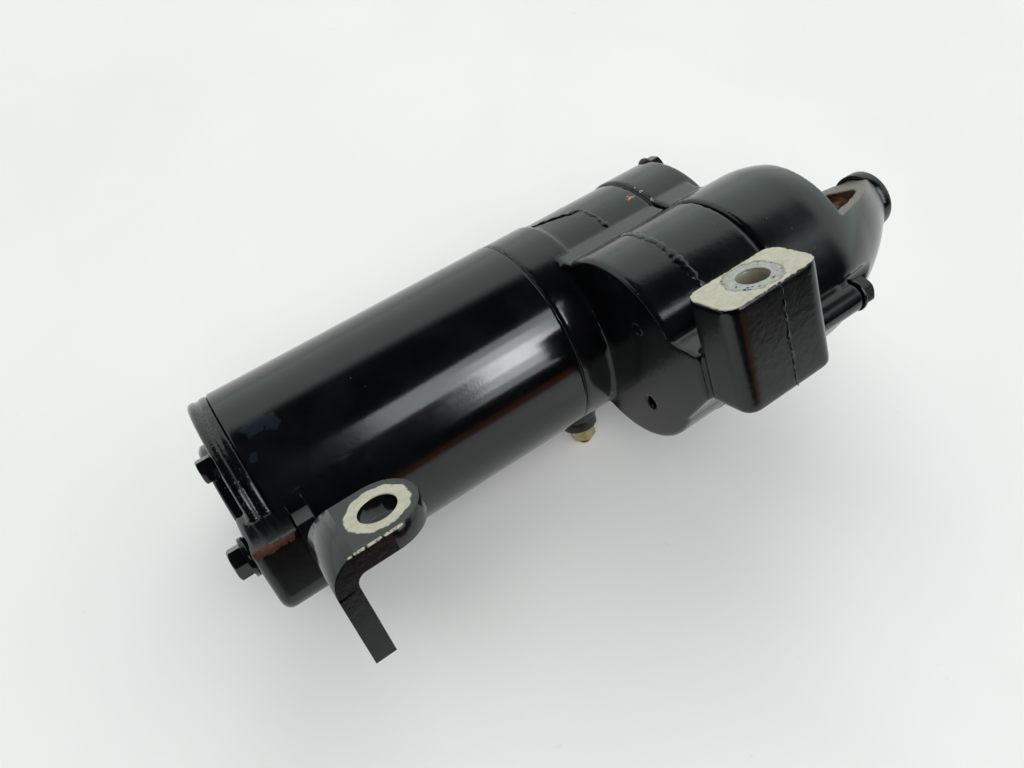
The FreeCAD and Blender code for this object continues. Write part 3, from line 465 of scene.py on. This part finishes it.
def yoke_skin(paint):
    """Drawn steel motor body with rolled edges, turned finely enough for clean reflections."""
    low, high = (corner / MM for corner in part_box("yoke_tube"))
    outer, inner = (high.y - low.y) / 2, YOKE_BORE
    start, end = low.x, high.x
    profile = [(inner, start + 0.3), (inner + 0.3, start), (outer - 0.6, start),
               (outer - 0.18, start + 0.18), (outer, start + 0.6), (outer, start + 1.1),
               (outer, start + 1.6)]
    profile += [(outer, start + (end - start) * share / 8) for share in range(1, 8)]
    profile += [(outer, end - 1.5), (outer, end - 1.0), (outer, end - 0.5), (outer - 0.15, end - 0.15),
                (outer - 0.5, end), (inner + 0.3, end), (inner, end - 0.3)]
    rings = [[(reach, along)] * YOKE_SIDES for reach, along in profile]
    placed = place_rings(rings, (0, *MOTOR_AXIS), (1, 0, 0), (0, 1, 0))
    made = mesh_object("yoke_tube_skin", *loft(placed, closed=True))
    sharpen(made, 40.0)
    made.data.materials.append(paint)
    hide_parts("yoke_tube")


def terminal_nut(yellow):
    """Flanged hexagon nut of the battery terminal."""
    low, high = (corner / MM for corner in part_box("battery_nut"))
    centre = (low + high) / 2
    bore = 3.0
    flange, flats = 6.8, 10.0
    corner_circle = flats / 2 * 0.97
    top, hex_base = 0.0, 1.5
    length = high.z - low.z
    rings = [[(bore, top)] * ROUND, [(flange - 0.3, top)] * ROUND, [(flange, 0.35)] * ROUND,
             [(flange - 0.2, 0.8)] * ROUND, [(flange - 1.0, 1.25)] * ROUND]
    angles = [2 * math.pi * j / ROUND for j in range(ROUND)]
    reach = [hex_reach(a, flats, 0.2) for a in angles]
    rings.append([(r, hex_base) for r in reach])
    slope = math.tan(math.radians(30.0))
    rings.append([(r, length - max(0.0, r - corner_circle) * slope) for r in reach])
    rings.append([(corner_circle, length)] * ROUND)
    rings.append([(bore + 0.5, length)] * ROUND)
    rings.append([(bore, length - 0.5)] * ROUND)
    placed = place_rings(rings, (centre.x, centre.y, high.z), (0, 0, -1), (1, 0, 0))
    made = mesh_object("battery_nut_flanged", *loft(placed, closed=True))
    sharpen(made)
    made.data.materials.append(yellow)
    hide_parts("battery_nut")


def terminal_stud(steel):
    """Threaded battery stud with its round head."""
    low, high = (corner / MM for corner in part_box("battery_stud"))
    centre = (low + high) / 2
    length = high.z - low.z
    rings = [[(0.2, 0.0)] * ROUND, [(2.2, 0.0)] * ROUND]
    rings += threaded_rings(2.95, 0.8, 10.0, 1.0, 0.5)
    rings += [[(2.9, 10.6)] * ROUND, [(2.9, length - 3.0)] * ROUND, [(5.6, length - 3.0)] * ROUND,
              [(5.6, length - 0.4)] * ROUND, [(5.2, length)] * ROUND, [(0.2, length)] * ROUND]
    placed = place_rings(rings, (centre.x, centre.y, low.z), (0, 0, 1), (1, 0, 0))
    made = mesh_object("battery_stud_threaded", *loft(placed))
    sharpen(made)
    made.data.materials.append(steel)
    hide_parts("battery_stud")


# ------------------------------------------------------------------ casting details

def lumpy(point, size, amount):
    """Repeatable unevenness at a point, in millimetres."""
    return amount * noise.noise(Vector(point) / size)


def ridge(name, path, outward, width, height, material):
    """Ragged cast ridge along a path, sunk into the surface it follows."""
    rings = []
    last = len(path) - 1
    for i, (point, out) in enumerate(zip(path, outward)):
        ahead = path[min(i + 1, last)] - path[max(i - 1, 0)]
        side = ahead.cross(out).normalized()
        fade = min(1.0, 6.0 * min(i, last - i) / last + 0.05)
        wide = (width + lumpy(point, 2.2, width * 1.1)) * (0.35 + 0.65 * fade)
        tall = max(0.08, height + lumpy(point + Vector((5, 0, 0)), 1.3, height * 1.2)) * fade
        drift = side * lumpy(point, 4.0, 0.6)
        row = []
        for k in range(10):
            turn = 2 * math.pi * k / 10
            rough = 1.0 + lumpy(point * 3 + Vector((k * 3.1, 0, 0)), 1.5, 0.35)
            around = side * math.cos(turn) * wide * rough
            row.append(point + drift + around + out * math.sin(turn) * tall * rough)
        rings.append(row)
    made = mesh_object(name, *loft(rings))
    made.data.materials.append(material)
    return made


def arc_path(axis, radius, x, start, end, step=0.7):
    """Points and outward directions along a circle about a shaft, angles from +Y."""
    count = max(2, int(abs(end - start) * math.pi / 180 * radius / step))
    points, outs = [], []
    for i in range(count + 1):
        angle = math.radians(start + (end - start) * i / count)
        out = Vector((0, math.cos(angle), math.sin(angle)))
        points.append(Vector((x, axis[0], axis[1])) + out * radius)
        outs.append(out)
    return points, outs


def parting_lines(paint):
    """Ragged ridges where the halves of the casting mould met."""
    start, corner = 82.0, 97.0
    rise = 48
    points, outs = [], []
    for i in range(rise + 1):
        angle = math.radians(start + (corner - start) * i / rise)
        out = Vector((0, math.cos(angle), math.sin(angle)))
        x = RIDGE_REAR + (RIDGE_X - RIDGE_REAR) * i / rise
        points.append(Vector((x, *MOTOR_AXIS)) + out * (CASE_RADIUS - 0.7))
        outs.append(out)
    ridge("parting_line_motor_side", points, outs, 0.8, 0.30, paint)
    points, outs = arc_path(MOTOR_AXIS, CASE_RADIUS - 0.9, RIDGE_X, corner, 130)
    ridge("parting_line_motor_top", points, outs, 1.1, 0.35, paint)
    points, outs = arc_path(MOTOR_AXIS, CASE_RADIUS - 0.9, RIDGE_X, start - 8, -65)
    ridge("parting_line_motor_far", points, outs, 0.55, 0.22, paint)
    points, outs = arc_path(DRIVE_AXIS, LOBE_RADIUS, PARTING_X, 60, 148)
    ridge("parting_line_lobe", points, outs, 1.5, 0.32, paint)
    points, outs = arc_path(DRIVE_AXIS, LOBE_RADIUS, PARTING_X, 215, 305)
    ridge("parting_line_lobe_under", points, outs, 0.7, 0.25, paint)
    path = [Vector((PARTING_X, PAD_OUTER, -1.0 + (BLOCK_LOW + 2.0) * i / 50)) for i in range(51)]
    ridge("parting_line_block", path, [Vector((0, -1, 0))] * len(path), 0.55, 0.30, paint)
    ejector_mark(paint)
    points, outs = arc_path(MOTOR_AXIS, CASE_RADIUS + 0.1, JOINT_X, 70, 165)
    ridge("joint_bead", points, outs, 0.28, 0.12, paint)


def ejector_mark(paint):
    """Raised ring left by an ejector pin on the rear face of the solenoid lobe."""
    points = []
    for i in range(41):
        angle = 2 * math.pi * i / 40
        across = EJECTOR[0] + EJECTOR_RADIUS * math.cos(angle)
        points.append(Vector((LOBE_REAR, across, EJECTOR[1] + EJECTOR_RADIUS * math.sin(angle))))
    ridge("ejector_mark", points, [Vector((-1, 0, 0))] * len(points), 0.28, 0.16, paint)


def pad_outline(angle):
    """Distance from the bolt hole to the edge of the pad in a direction."""
    corner = PAD_CORNER
    for step in range(400):
        reach = 4.0 + step * 0.06
        x, y = reach * math.cos(angle), reach * math.sin(angle)
        dx = max(x - (PAD_FRONT - corner), (PAD_REAR + corner) - x, 0.0)
        dy = max(y - (PAD_INNER - corner), (PAD_OUTER + corner) - y, 0.0)
        if math.hypot(dx, dy) >= corner - 0.25:
            return reach
    return reach


def pad_face(material):
    """Bare, weathered upper face of the mounting block."""
    around, rows = 240, 34
    rings = []
    for i in range(rows + 1):
        share = i / rows
        row = []
        for j in range(around):
            angle = 2 * math.pi * j / around
            spin = Vector((math.cos(angle), math.sin(angle), 0))
            edge = pad_outline(angle)
            edge += lumpy(spin * 30, 2.2, 0.45) - 0.15
            inner = HOLE_RADIUS - 0.15 + lumpy(spin * 12, 2.0, 0.2)
            point = spin * (inner + (edge - inner) * share)
            reach = point.length
            worn = 0.07 if reach < 9.6 + lumpy(spin * 8, 3.0, 0.8) else 0.0
            relief = lumpy(point, 0.9, 0.06) + lumpy(point, 3.0, 0.06)
            point.z = 0.10 + relief - worn
            row.append(point)
        rings.append(row)
    rim = rings[-1]
    rings.append([Vector((p.x * 1.004, p.y * 1.004, -0.12)) for p in rim])
    rings.append([Vector((p.x * 0.99, p.y * 0.99, -0.6)) for p in rim])
    rings.append([Vector((p.x * 1.02, p.y * 1.02, -0.6)) for p in rings[0]])
    made = mesh_object("pad_bare_face", *loft(rings, closed=True))
    made.data.materials.append(material)


# ------------------------------------------------------------------ CAD nodes

CAST_NODES = {"rear_casting": 0.8, "nose_housing": 0.8, "end_cover": 0.6}


def soften_casting(node, voxel):
    """Gives a casting the rounded edges and filled corners that sand casting leaves."""
    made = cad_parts[node]
    remesh = made.modifiers.new("cast_skin", "REMESH")
    remesh.mode = "VOXEL"
    remesh.voxel_size = voxel * MM
    remesh.use_smooth_shade = True
    smooth = made.modifiers.new("cast_rounding", "SMOOTH")
    smooth.factor = 0.5
    smooth.iterations = 5


def break_edges(node, width=0.25):
    """Bevels the sharp edges of a machined piece."""
    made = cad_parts[node]
    weld = made.modifiers.new("weld", "WELD")
    weld.merge_threshold = 0.002 * MM
    bevel = made.modifiers.new("edge_break", "BEVEL")
    bevel.width = width * MM
    bevel.segments = 2
    bevel.limit_method = "ANGLE"
    bevel.angle_limit = math.radians(40)
    bevel.harden_normals = True


def dress(node, material):
    """Gives every material slot of a CAD node one material."""
    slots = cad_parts[node].material_slots
    if slots:
        for slot in slots:
            slot.material = material
    else:
        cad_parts[node].data.materials.append(material)


def distance(look, first, second):
    """Length of a pair of offsets."""
    squares = [look.math("MULTIPLY", side, side) for side in (first, second)]
    return look.math("SQRT", look.math("ADD", *squares))


def hole_bare_with_painted_shade(look):
    """Unpainted wall of the pad's bolt hole, with painted shade that darkens it deeper down."""
    away = distance(look, look.part(0), look.part(1))
    inside = look.ramp(away, (HOLE_RADIUS + 0.4) * MM, (HOLE_RADIUS + 0.9) * MM, 1.0, 0.0)
    # Painted shade: the wall is blended towards dark brown, more the deeper it lies in the hole.
    depth = look.ramp(look.part(2), -14.0 * MM, -3.0 * MM)
    return inside, look.math("SUBTRACT", 0.85, look.math("MULTIPLY", depth, 0.55))


def rim_pale_streaks(look):
    """Thin pale streaks round the ribs of the end cover, on its upper near side only."""
    y = look.math("SUBTRACT", look.part(1), MOTOR_AXIS[0] * MM)
    z = look.math("SUBTRACT", look.part(2), MOTOR_AXIS[1] * MM)
    away = distance(look, y, z)
    off_rim = look.math("ABSOLUTE", look.math("SUBTRACT", away, 41.0 * MM))
    rim = look.ramp(off_rim, 0.5 * MM, 0.9 * MM, 1.0, 0.0)
    facing = look.ramp(look.math("SUBTRACT", look.part(2), look.part(1)), -0.125, -0.095)
    streak = look.ramp(look.noise(0.5, 5.0, 0.75, stretch=(1.0, 0.35, 0.35)), 0.60, 0.66)
    where = look.ramp(look.noise(6.0, 3.0, 0.6), 0.46, 0.56)
    mask = look.math("MULTIPLY", look.math("MULTIPLY", rim, streak), look.math("MULTIPLY", where, facing))
    return look.math("MULTIPLY", mask, 0.35), 0.0


def bracket_bare(look):
    """Bare ring worn round the bracket's hole, and a scuff along the near edge."""
    x, y = look.part(0), look.part(1)
    dx = look.math("SUBTRACT", x, BRACKET_HOLE[0] * MM)
    dy = look.math("SUBTRACT", y, BRACKET_HOLE[1] * MM)
    away = distance(look, dx, dy)
    wobble = look.ramp(look.noise(3.0, 4.0, 0.6), 0.25, 0.75, -0.45, 0.45)
    reach = look.math("MULTIPLY_ADD", wobble, MM, 9.3 * MM)
    ring = look.ramp(look.math("SUBTRACT", reach, away), 0.0, 0.5 * MM)
    top = look.ramp(look.part(2), (BRACKET_TOP - 0.4) * MM, (BRACKET_TOP - 0.2) * MM)
    off_edge = look.math("ABSOLUTE", look.math("SUBTRACT", y, (BRACKET_NEAR + 0.3) * MM))
    edge = look.ramp(off_edge, 0.25 * MM, 0.75 * MM, 1.0, 0.0)
    along = look.ramp(x, (BRACKET_HOLE[0] - 14.0) * MM, (BRACKET_HOLE[0] - 12.0) * MM)
    worn = look.ramp(look.noise(1.6, 4.0, 0.7), 0.42, 0.52)
    scuff = look.math("MULTIPLY", look.math("MULTIPLY", edge, along), worn)
    return look.math("MULTIPLY", look.math("MAXIMUM", ring, scuff), top), 0.0


def drive_offset(look):
    """Position across the shafts measured from the drive axis."""
    y = look.math("SUBTRACT", look.part(1), DRIVE_AXIS[0] * MM)
    z = look.math("SUBTRACT", look.part(2), DRIVE_AXIS[1] * MM)
    return y, z


def window_bare(look):
    """Machined edge of the nose opening."""
    y, z = drive_offset(look)
    across = look.math("MULTIPLY", y, math.sin(WINDOW_TILT))
    level = look.math("MULTIPLY_ADD", z, math.cos(WINDOW_TILT), across)
    off = look.math("ABSOLUTE", look.math("SUBTRACT", level, WINDOW_LEVEL * MM))
    flat = look.ramp(off, 0.35 * MM, 0.75 * MM, 1.0, 0.0)
    ahead = look.ramp(look.part(0), (WINDOW_REAR + 0.3) * MM, (WINDOW_REAR + 1.0) * MM)
    before = look.ramp(look.part(0), (WINDOW_FRONT - 1.2) * MM, (WINDOW_FRONT - 0.4) * MM, 1.0, 0.0)
    return look.math("MULTIPLY", look.math("MULTIPLY", flat, ahead), before), 0.78


def nose_lining(look):
    """Rust-brown turned bore inside the nose, seen through the opening."""
    away = distance(look, *drive_offset(look))
    x = look.part(0)
    reach = look.ramp(x, 72.0 * MM, 97.0 * MM, CHAMBER_RADIUS * MM, 15.5 * MM)
    inside = look.ramp(look.math("SUBTRACT", reach, away), -0.3 * MM, 0.2 * MM)
    ahead = look.ramp(x, 64.0 * MM, 64.6 * MM)
    before = look.ramp(x, 97.6 * MM, 98.4 * MM, 1.0, 0.0)
    mask = look.math("MULTIPLY", inside, look.math("MULTIPLY", ahead, before))
    rings = look.node("ShaderNodeTexWave", {"Vector": look.place, "Scale": 62.0, "Distortion": 0.8},
                      bands_direction="X")
    tint = look.mix(look.ramp(rings, 0.2, 0.9), (0.035, 0.014, 0.010), (0.13, 0.058, 0.040))
    return mask, tint, rings


def seam_chips(x):
    """Places along the motor side of the seam where the paint has flaked."""
    chips = []
    for degrees, radius in ((104.0, 0.6), (109.0, 0.9), (112.5, 0.5), (119.0, 0.7)):
        angle = math.radians(degrees)
        y = MOTOR_AXIS[0] + CASE_RADIUS * math.cos(angle)
        z = MOTOR_AXIS[1] + CASE_RADIUS * math.sin(angle)
        chips.append(((x, y, z), radius, 0.9, 1.0))
    return chips


def pad_tone():
    """Cream weathered iron with a smoother grey ring where a bolt head has seated."""
    look = Look("bare_pad")
    away = distance(look, look.part(0), look.part(1))
    wobble = look.ramp(look.noise(4.0, 4.0, 0.6), 0.25, 0.75, -0.9, 0.9)
    away = look.math("SUBTRACT", away, look.math("MULTIPLY", wobble, MM))
    seat = look.ramp(away, 8.6 * MM, 9.4 * MM, 1.0, 0.0)
    off_border = look.math("ABSOLUTE", look.math("SUBTRACT", away, 9.2 * MM))
    border = look.ramp(off_border, 0.1 * MM, 0.7 * MM, 1.0, 0.0)
    clouds = look.ramp(look.noise(2.5, 4.0, 0.65), 0.35, 0.7)
    grey = look.mix(clouds, (0.40, 0.40, 0.36), (0.27, 0.275, 0.27))
    color = look.mix(seat, bare_tone(look), grey)
    color = look.mix(look.math("MULTIPLY", border, 0.6), color, (0.13, 0.125, 0.12))
    pits = look.noise(0.5, 4.0, 0.75)
    depth = look.math("MULTIPLY", pits, look.math("MULTIPLY_ADD", seat, -0.75, 1.0))
    return look.finish(color=color, rough=0.6, metal=0.15, normal=look.bump(depth, 0.22))


def materials():
    """Material for each CAD node, and the paint of the small fasteners."""
    made = {}
    made["yoke_tube"] = painted(
        "paint_yoke", 0.11, 1.1, 0.006, 0.0025, dust=0.66,
        smudges=[((-146.5, 82.6, 0.6), 4.2, 0.4, 5.0), ((-141.5, 80.5, -0.6), 3.0, 0.5, 4.0),
                 ((-151.8, 74.2, -6.0), 1.6, 0.4, 3.0)])
    ear_rust = [((-166.0 + 2.2 * i, 47.5 - 0.2 * i, -22.4), 1.7, 0.6, 1.4) for i in range(6)]
    made["end_cover"] = painted(
        "paint_end_cover", 0.15, 3.0, 0.02, 0.008, rust=ear_rust,
        chips=[((-165.7, 81.8, -7.0), 1.2, 0.9, 1.5)], bare=rim_pale_streaks)
    made["rear_casting"] = painted(
        "paint_rear_casting", 0.15, 2.4, 0.035, 0.008, chips=[((23.5, 90.8, 4.5), 1.5, 1.0, 1.4)],
        pale=seam_chips(26.8), bare=hole_bare_with_painted_shade, dust=0.58)
    made["nose_housing"] = painted(
        "paint_nose", 0.15, 3.0, 0.025, 0.006, pale=seam_chips(28.7), bare=window_bare,
        lining=nose_lining, dust=0.6)
    made["support_bracket"] = painted("paint_bracket", 0.14, 2.5, 0.03, 0.01, bare=bracket_bare)
    paint = painted("paint_small", 0.15, 1.2, 0.03, 0.01, dust=0.6)
    for node in ("bracket_bolt_washer", "housing_bolt_washers", "nose_cap", "through_bolts",
                 "bracket_bolt", "housing_bolts"):
        made[node] = paint
    rubber = moulded("sheet_gasket", (0.02, 0.02, 0.021), 0.55)
    for node in ("front_gasket", "seam_gasket", "drive_seal"):
        made[node] = rubber
    made["field_magnets"] = moulded("ferrite", (0.06, 0.06, 0.065), 0.45, 0.4, 0.03)
    spring = metal("spring_steel", (0.45, 0.45, 0.46), 0.3)
    for node in ("magnet_clips", "brush_springs", "plunger_spring"):
        made[node] = spring
    ground = metal("bearing_steel", (0.62, 0.62, 0.64), 0.12, stain=0.15, grain_depth=0.002)
    for bearing in ("rear_bearing", "front_bearing", "clutch_bearing"):
        for piece in ("outer_ring", "inner_ring", "balls"):
            made["%s_%s" % (bearing, piece)] = ground
    gear = metal("gear_steel", (0.40, 0.38, 0.36), 0.34, tint=(0.20, 0.13, 0.09))
    for node in ("armature_shaft", "idler_gear", "idler_pin", "idler_rollers", "clutch_gear",
                 "clutch_side_plate", "clutch_rollers", "clutch_sleeve"):
        made[node] = gear
    worn = metal("pinion_steel", (0.33, 0.27, 0.23), 0.38, tint=(0.16, 0.07, 0.04), stain=0.8)
    for node in ("pinion_shaft", "drive_pinion", "pinion_stop_ring"):
        made[node] = worn
    iron = metal("soft_iron", (0.34, 0.34, 0.34), 0.4)
    for node in ("armature_core", "solenoid_front_plate", "plunger", "plunger_rod"):
        made[node] = iron
    made["armature_windings"] = wound("armature_wire", (0.62, 0.27, 0.12), "X")
    made["solenoid_coil"] = wound("coil_wire", (0.66, 0.28, 0.12), "X")
    bare_copper = metal("bare_copper", (0.72, 0.38, 0.24), 0.28, tint=(0.35, 0.16, 0.09))
    for node in ("commutator_bars", "contact_disc", "fixed_contacts", "battery_stud"):
        made[node] = bare_copper
    phenolic = moulded("phenolic", (0.055, 0.022, 0.014), 0.42)
    for node in ("commutator_hub", "brush_plate", "coil_bobbin", "contact_carrier"):
        made[node] = phenolic
    made["stud_insulator"] = moulded("black_insulator", (0.012, 0.012, 0.013), 0.38)
    made["brush_holders"] = metal("pressed_brass", (0.66, 0.50, 0.22), 0.3)
    made["brushes"] = moulded("carbon", (0.045, 0.036, 0.034), 0.6, 0.4, 0.05)
    made["nose_bush"] = metal("sintered_bronze", (0.45, 0.28, 0.14), 0.42)
    made["sleeve_bush"] = made["nose_bush"]
    made["battery_nut"] = metal(
        "yellow_zinc", (0.46, 0.40, 0.18), 0.26, tint=(0.20, 0.24, 0.15), stain=0.7)
    for node in ("battery_lead", "motor_lead"):
        made[node] = woven("lead_sleeving_" + node, (0.045, 0.042, 0.04))
    return made, paint


# ------------------------------------------------------------------ studio

def environment():
    """Dark room with one pale wall beyond the table, as the paint reflects it."""
    world = bpy.data.worlds.new("room")
    bpy.context.scene.world = world
    world.use_nodes = True
    look = Look("room", world.node_tree)
    direction = look.nodes.new("ShaderNodeTexCoord").outputs["Generated"]

    def along(vector):
        inputs = {0: direction, 1: tuple(vector)}
        return look.node("ShaderNodeVectorMath", inputs, out=1, operation="DOT_PRODUCT")

    up, far, right = along(TABLE_UP), along(TABLE_FAR), along(TABLE_RIGHT)
    wall = look.math("MULTIPLY", look.ramp(up, 0.66, 0.80, 1.0, 0.0), look.ramp(far, -0.15, 0.15))
    low = look.ramp(look.math("ABSOLUTE", look.math("SUBTRACT", up, 0.03)), 0.05, 0.10, 1.0, 0.0)
    warm = look.math("MULTIPLY", low, look.ramp(far, -0.35, -0.5))
    warm = look.math("MULTIPLY", warm, look.ramp(right, 0.55, 0.7))
    color = look.mix(wall, (0.004, 0.005, 0.006), (1.02, 1.17, 1.11))
    color = look.mix(warm, color, (0.36, 0.11, 0.03))
    seen = look.node("ShaderNodeLightPath", out="Is Camera Ray")
    color = look.mix(seen, color, (0.86, 0.88, 0.87))
    look.feed(look.nodes["Background"].inputs["Color"], color)


def lowest_along(node, direction):
    """Least distance of a CAD node's vertices along a direction, in metres."""
    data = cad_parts[node].data
    co = np.zeros(len(data.vertices) * 3, np.float32)
    data.vertices.foreach_get("co", co)
    return float((co.reshape(-1, 3) @ np.array(direction)).min())


def table_top():
    """Pale table the part lies on, open when looked at from below."""
    half = 2.5
    base = TABLE_UP * (lowest_along("yoke_tube", TABLE_UP) - 0.2 * MM) + Vector((-0.03, 0.0, 0.0))
    base += Vector((0.0, TABLE_UP.z, -TABLE_UP.y)) * 0.06
    data = bpy.data.meshes.new("table_top")
    signs = ((-1, -1), (1, -1), (1, 1), (-1, 1))
    corners = [base + TABLE_RIGHT * a * half + TABLE_FAR * b * half for a, b in signs]
    data.from_pydata(corners, [], [(0, 1, 2, 3)])
    made = bpy.data.objects.new("table_top", data)
    bpy.context.scene.collection.objects.link(made)
    look = Look("table_paint")
    cloud = look.noise(140.0, 4.0, 0.55, warp=0.4)
    color = look.mix(look.ramp(cloud, 0.3, 0.7), (0.80, 0.805, 0.80), (0.775, 0.78, 0.775))
    mark = look.ramp(look.noise(9.0, 2.0, 0.5, warp=2.0), 0.74, 0.80)
    color = look.mix(look.math("MULTIPLY", mark, 0.25), color, (0.62, 0.63, 0.63))
    look.finish(color=color, rough=0.55, specular=0.25, glow=color, glow_strength=FLOOR_GLOW)
    clear = look.nodes.new("ShaderNodeBsdfTransparent")
    chooser = look.nodes.new("ShaderNodeMixShader")
    geometry = look.nodes.new("ShaderNodeNewGeometry")
    look.links.new(geometry.outputs["Backfacing"], chooser.inputs[0])
    look.links.new(look.shader.outputs[0], chooser.inputs[1])
    look.links.new(clear.outputs[0], chooser.inputs[2])
    look.links.new(chooser.outputs[0], look.nodes["Material Output"].inputs["Surface"])
    data.materials.append(look.material)


def area_light(name, direction, along, distance, size, radiance, color, reach):
    """Soft panel of a given brightness facing the part, its first side lying along a direction."""
    data = bpy.data.lights.new(name, "AREA")
    data.shape = "RECTANGLE"
    data.size, data.size_y = size
    data.color = color
    data.energy = radiance * math.pi * size[0] * size[1]
    made = bpy.data.objects.new(name, data)
    bpy.context.scene.collection.objects.link(made)
    made.visible_diffuse = reach == FLOOR_ONLY
    made.visible_glossy = reach == SHINE_ONLY
    back = direction.normalized()
    first = (along - back * along.dot(back)).normalized()
    axes = Matrix((first, back.cross(first), back)).transposed()
    aim = Vector((-0.03, 0.07, -0.035))
    made.matrix_world = Matrix.Translation(aim + back * distance) @ axes.to_4x4()
    return made


def on_table(right, far, up):
    """Direction given by its shares along the table's own axes."""
    return TABLE_RIGHT * right + TABLE_FAR * far + TABLE_UP * up


WINDOW_WAY = on_table(0.609, -0.305, 0.731)
WINDOW_LONG = on_table(0.436, -0.63, -0.642)
# name, distance, extents along and across as shares of the distance, brightness, tint
WINDOW_PANES = [
    ("window_sash", 2.20, (-0.45, -0.06), (-0.25, -0.085), 4.3, (0.90, 0.97, 1.0)),
    ("window_wide", 2.20, (-0.46, 0.49), (-0.085, 0.30), 3.6, (0.90, 0.97, 1.0)),
    ("window_glow", 2.16, (-0.30, 0.33), (-0.085, 0.04), 5.0, (0.95, 0.98, 1.0)),
    ("window_bright", 2.12, (-0.13, 0.15), (-0.08, 0.03), 7.6, (1.0, 1.0, 0.99)),
]


def window_pane(name, away, along, across, radiance, color):
    """Part of the bright window, seen only as a reflection in the paint."""
    size = ((along[1] - along[0]) * away, (across[1] - across[0]) * away)
    made = area_light(name, WINDOW_WAY, WINDOW_LONG, away, size, radiance, color, SHINE_ONLY)
    axes = made.matrix_world.to_3x3()
    shift = axes.col[0] * sum(along) / 2 + axes.col[1] * sum(across) / 2
    made.matrix_world = Matrix.Translation(shift * away) @ made.matrix_world


def camera():
    """Wide-lens camera close to the part, looking down on it."""
    data = bpy.data.cameras.new("camera")
    data.sensor_width = 36.0
    data.lens = 28.125
    data.clip_start, data.clip_end = 0.01, 20.0
    made = bpy.data.objects.new("camera", data)
    bpy.context.scene.collection.objects.link(made)
    back = Vector((-0.294, -0.823, 0.486)).normalized()
    right = (VIEW_RIGHT - back * VIEW_RIGHT.dot(back)).normalized()
    up = back.cross(right)
    axes = Matrix((right, up, back)).transposed()
    made.matrix_world = Matrix.Translation((-0.1479, -0.1755, 0.1147)) @ axes.to_4x4()
    bpy.context.scene.camera = made


def studio():
    """Room, table, soft lights and camera."""
    environment()
    table_top()
    for panes in WINDOW_PANES:
        window_pane(*panes)
    fill = on_table(0.70, -0.21, 0.70)
    area_light("window_fill", fill, WINDOW_LONG, 2.2, (1.23, 0.97), 1.2, (0.97, 0.99, 1.0), FLOOR_ONLY)
    skies = (("far_sky", (-0.05, 0.62, 0.78), 2.0), ("near_sky", (0.0, -0.48, 0.87), 2.6))
    for name, way, radiance in skies:
        area_light(name, on_table(*way), TABLE_RIGHT, SKY_AWAY, SKY_SIZE, radiance, SKY_TINT, FLOOR_ONLY)
    camera()
    bpy.context.scene.view_settings.view_transform = "Standard"


# ------------------------------------------------------------------ build

def build():
    looks, paint = materials()
    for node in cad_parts:
        dress(node, looks[node])
    for node, voxel in CAST_NODES.items():
        soften_casting(node, voxel)
    for node in ("support_bracket", "bracket_bolt_washer", "housing_bolt_washers", "nose_cap",
                 "stud_insulator", "drive_pinion", "pinion_stop_ring"):
        break_edges(node)
    fasteners(paint, looks["battery_nut"], looks["battery_stud"])
    yoke_skin(looks["yoke_tube"])
    parting_lines(looks["rear_casting"])
    pad_face(pad_tone())
    studio()


build()
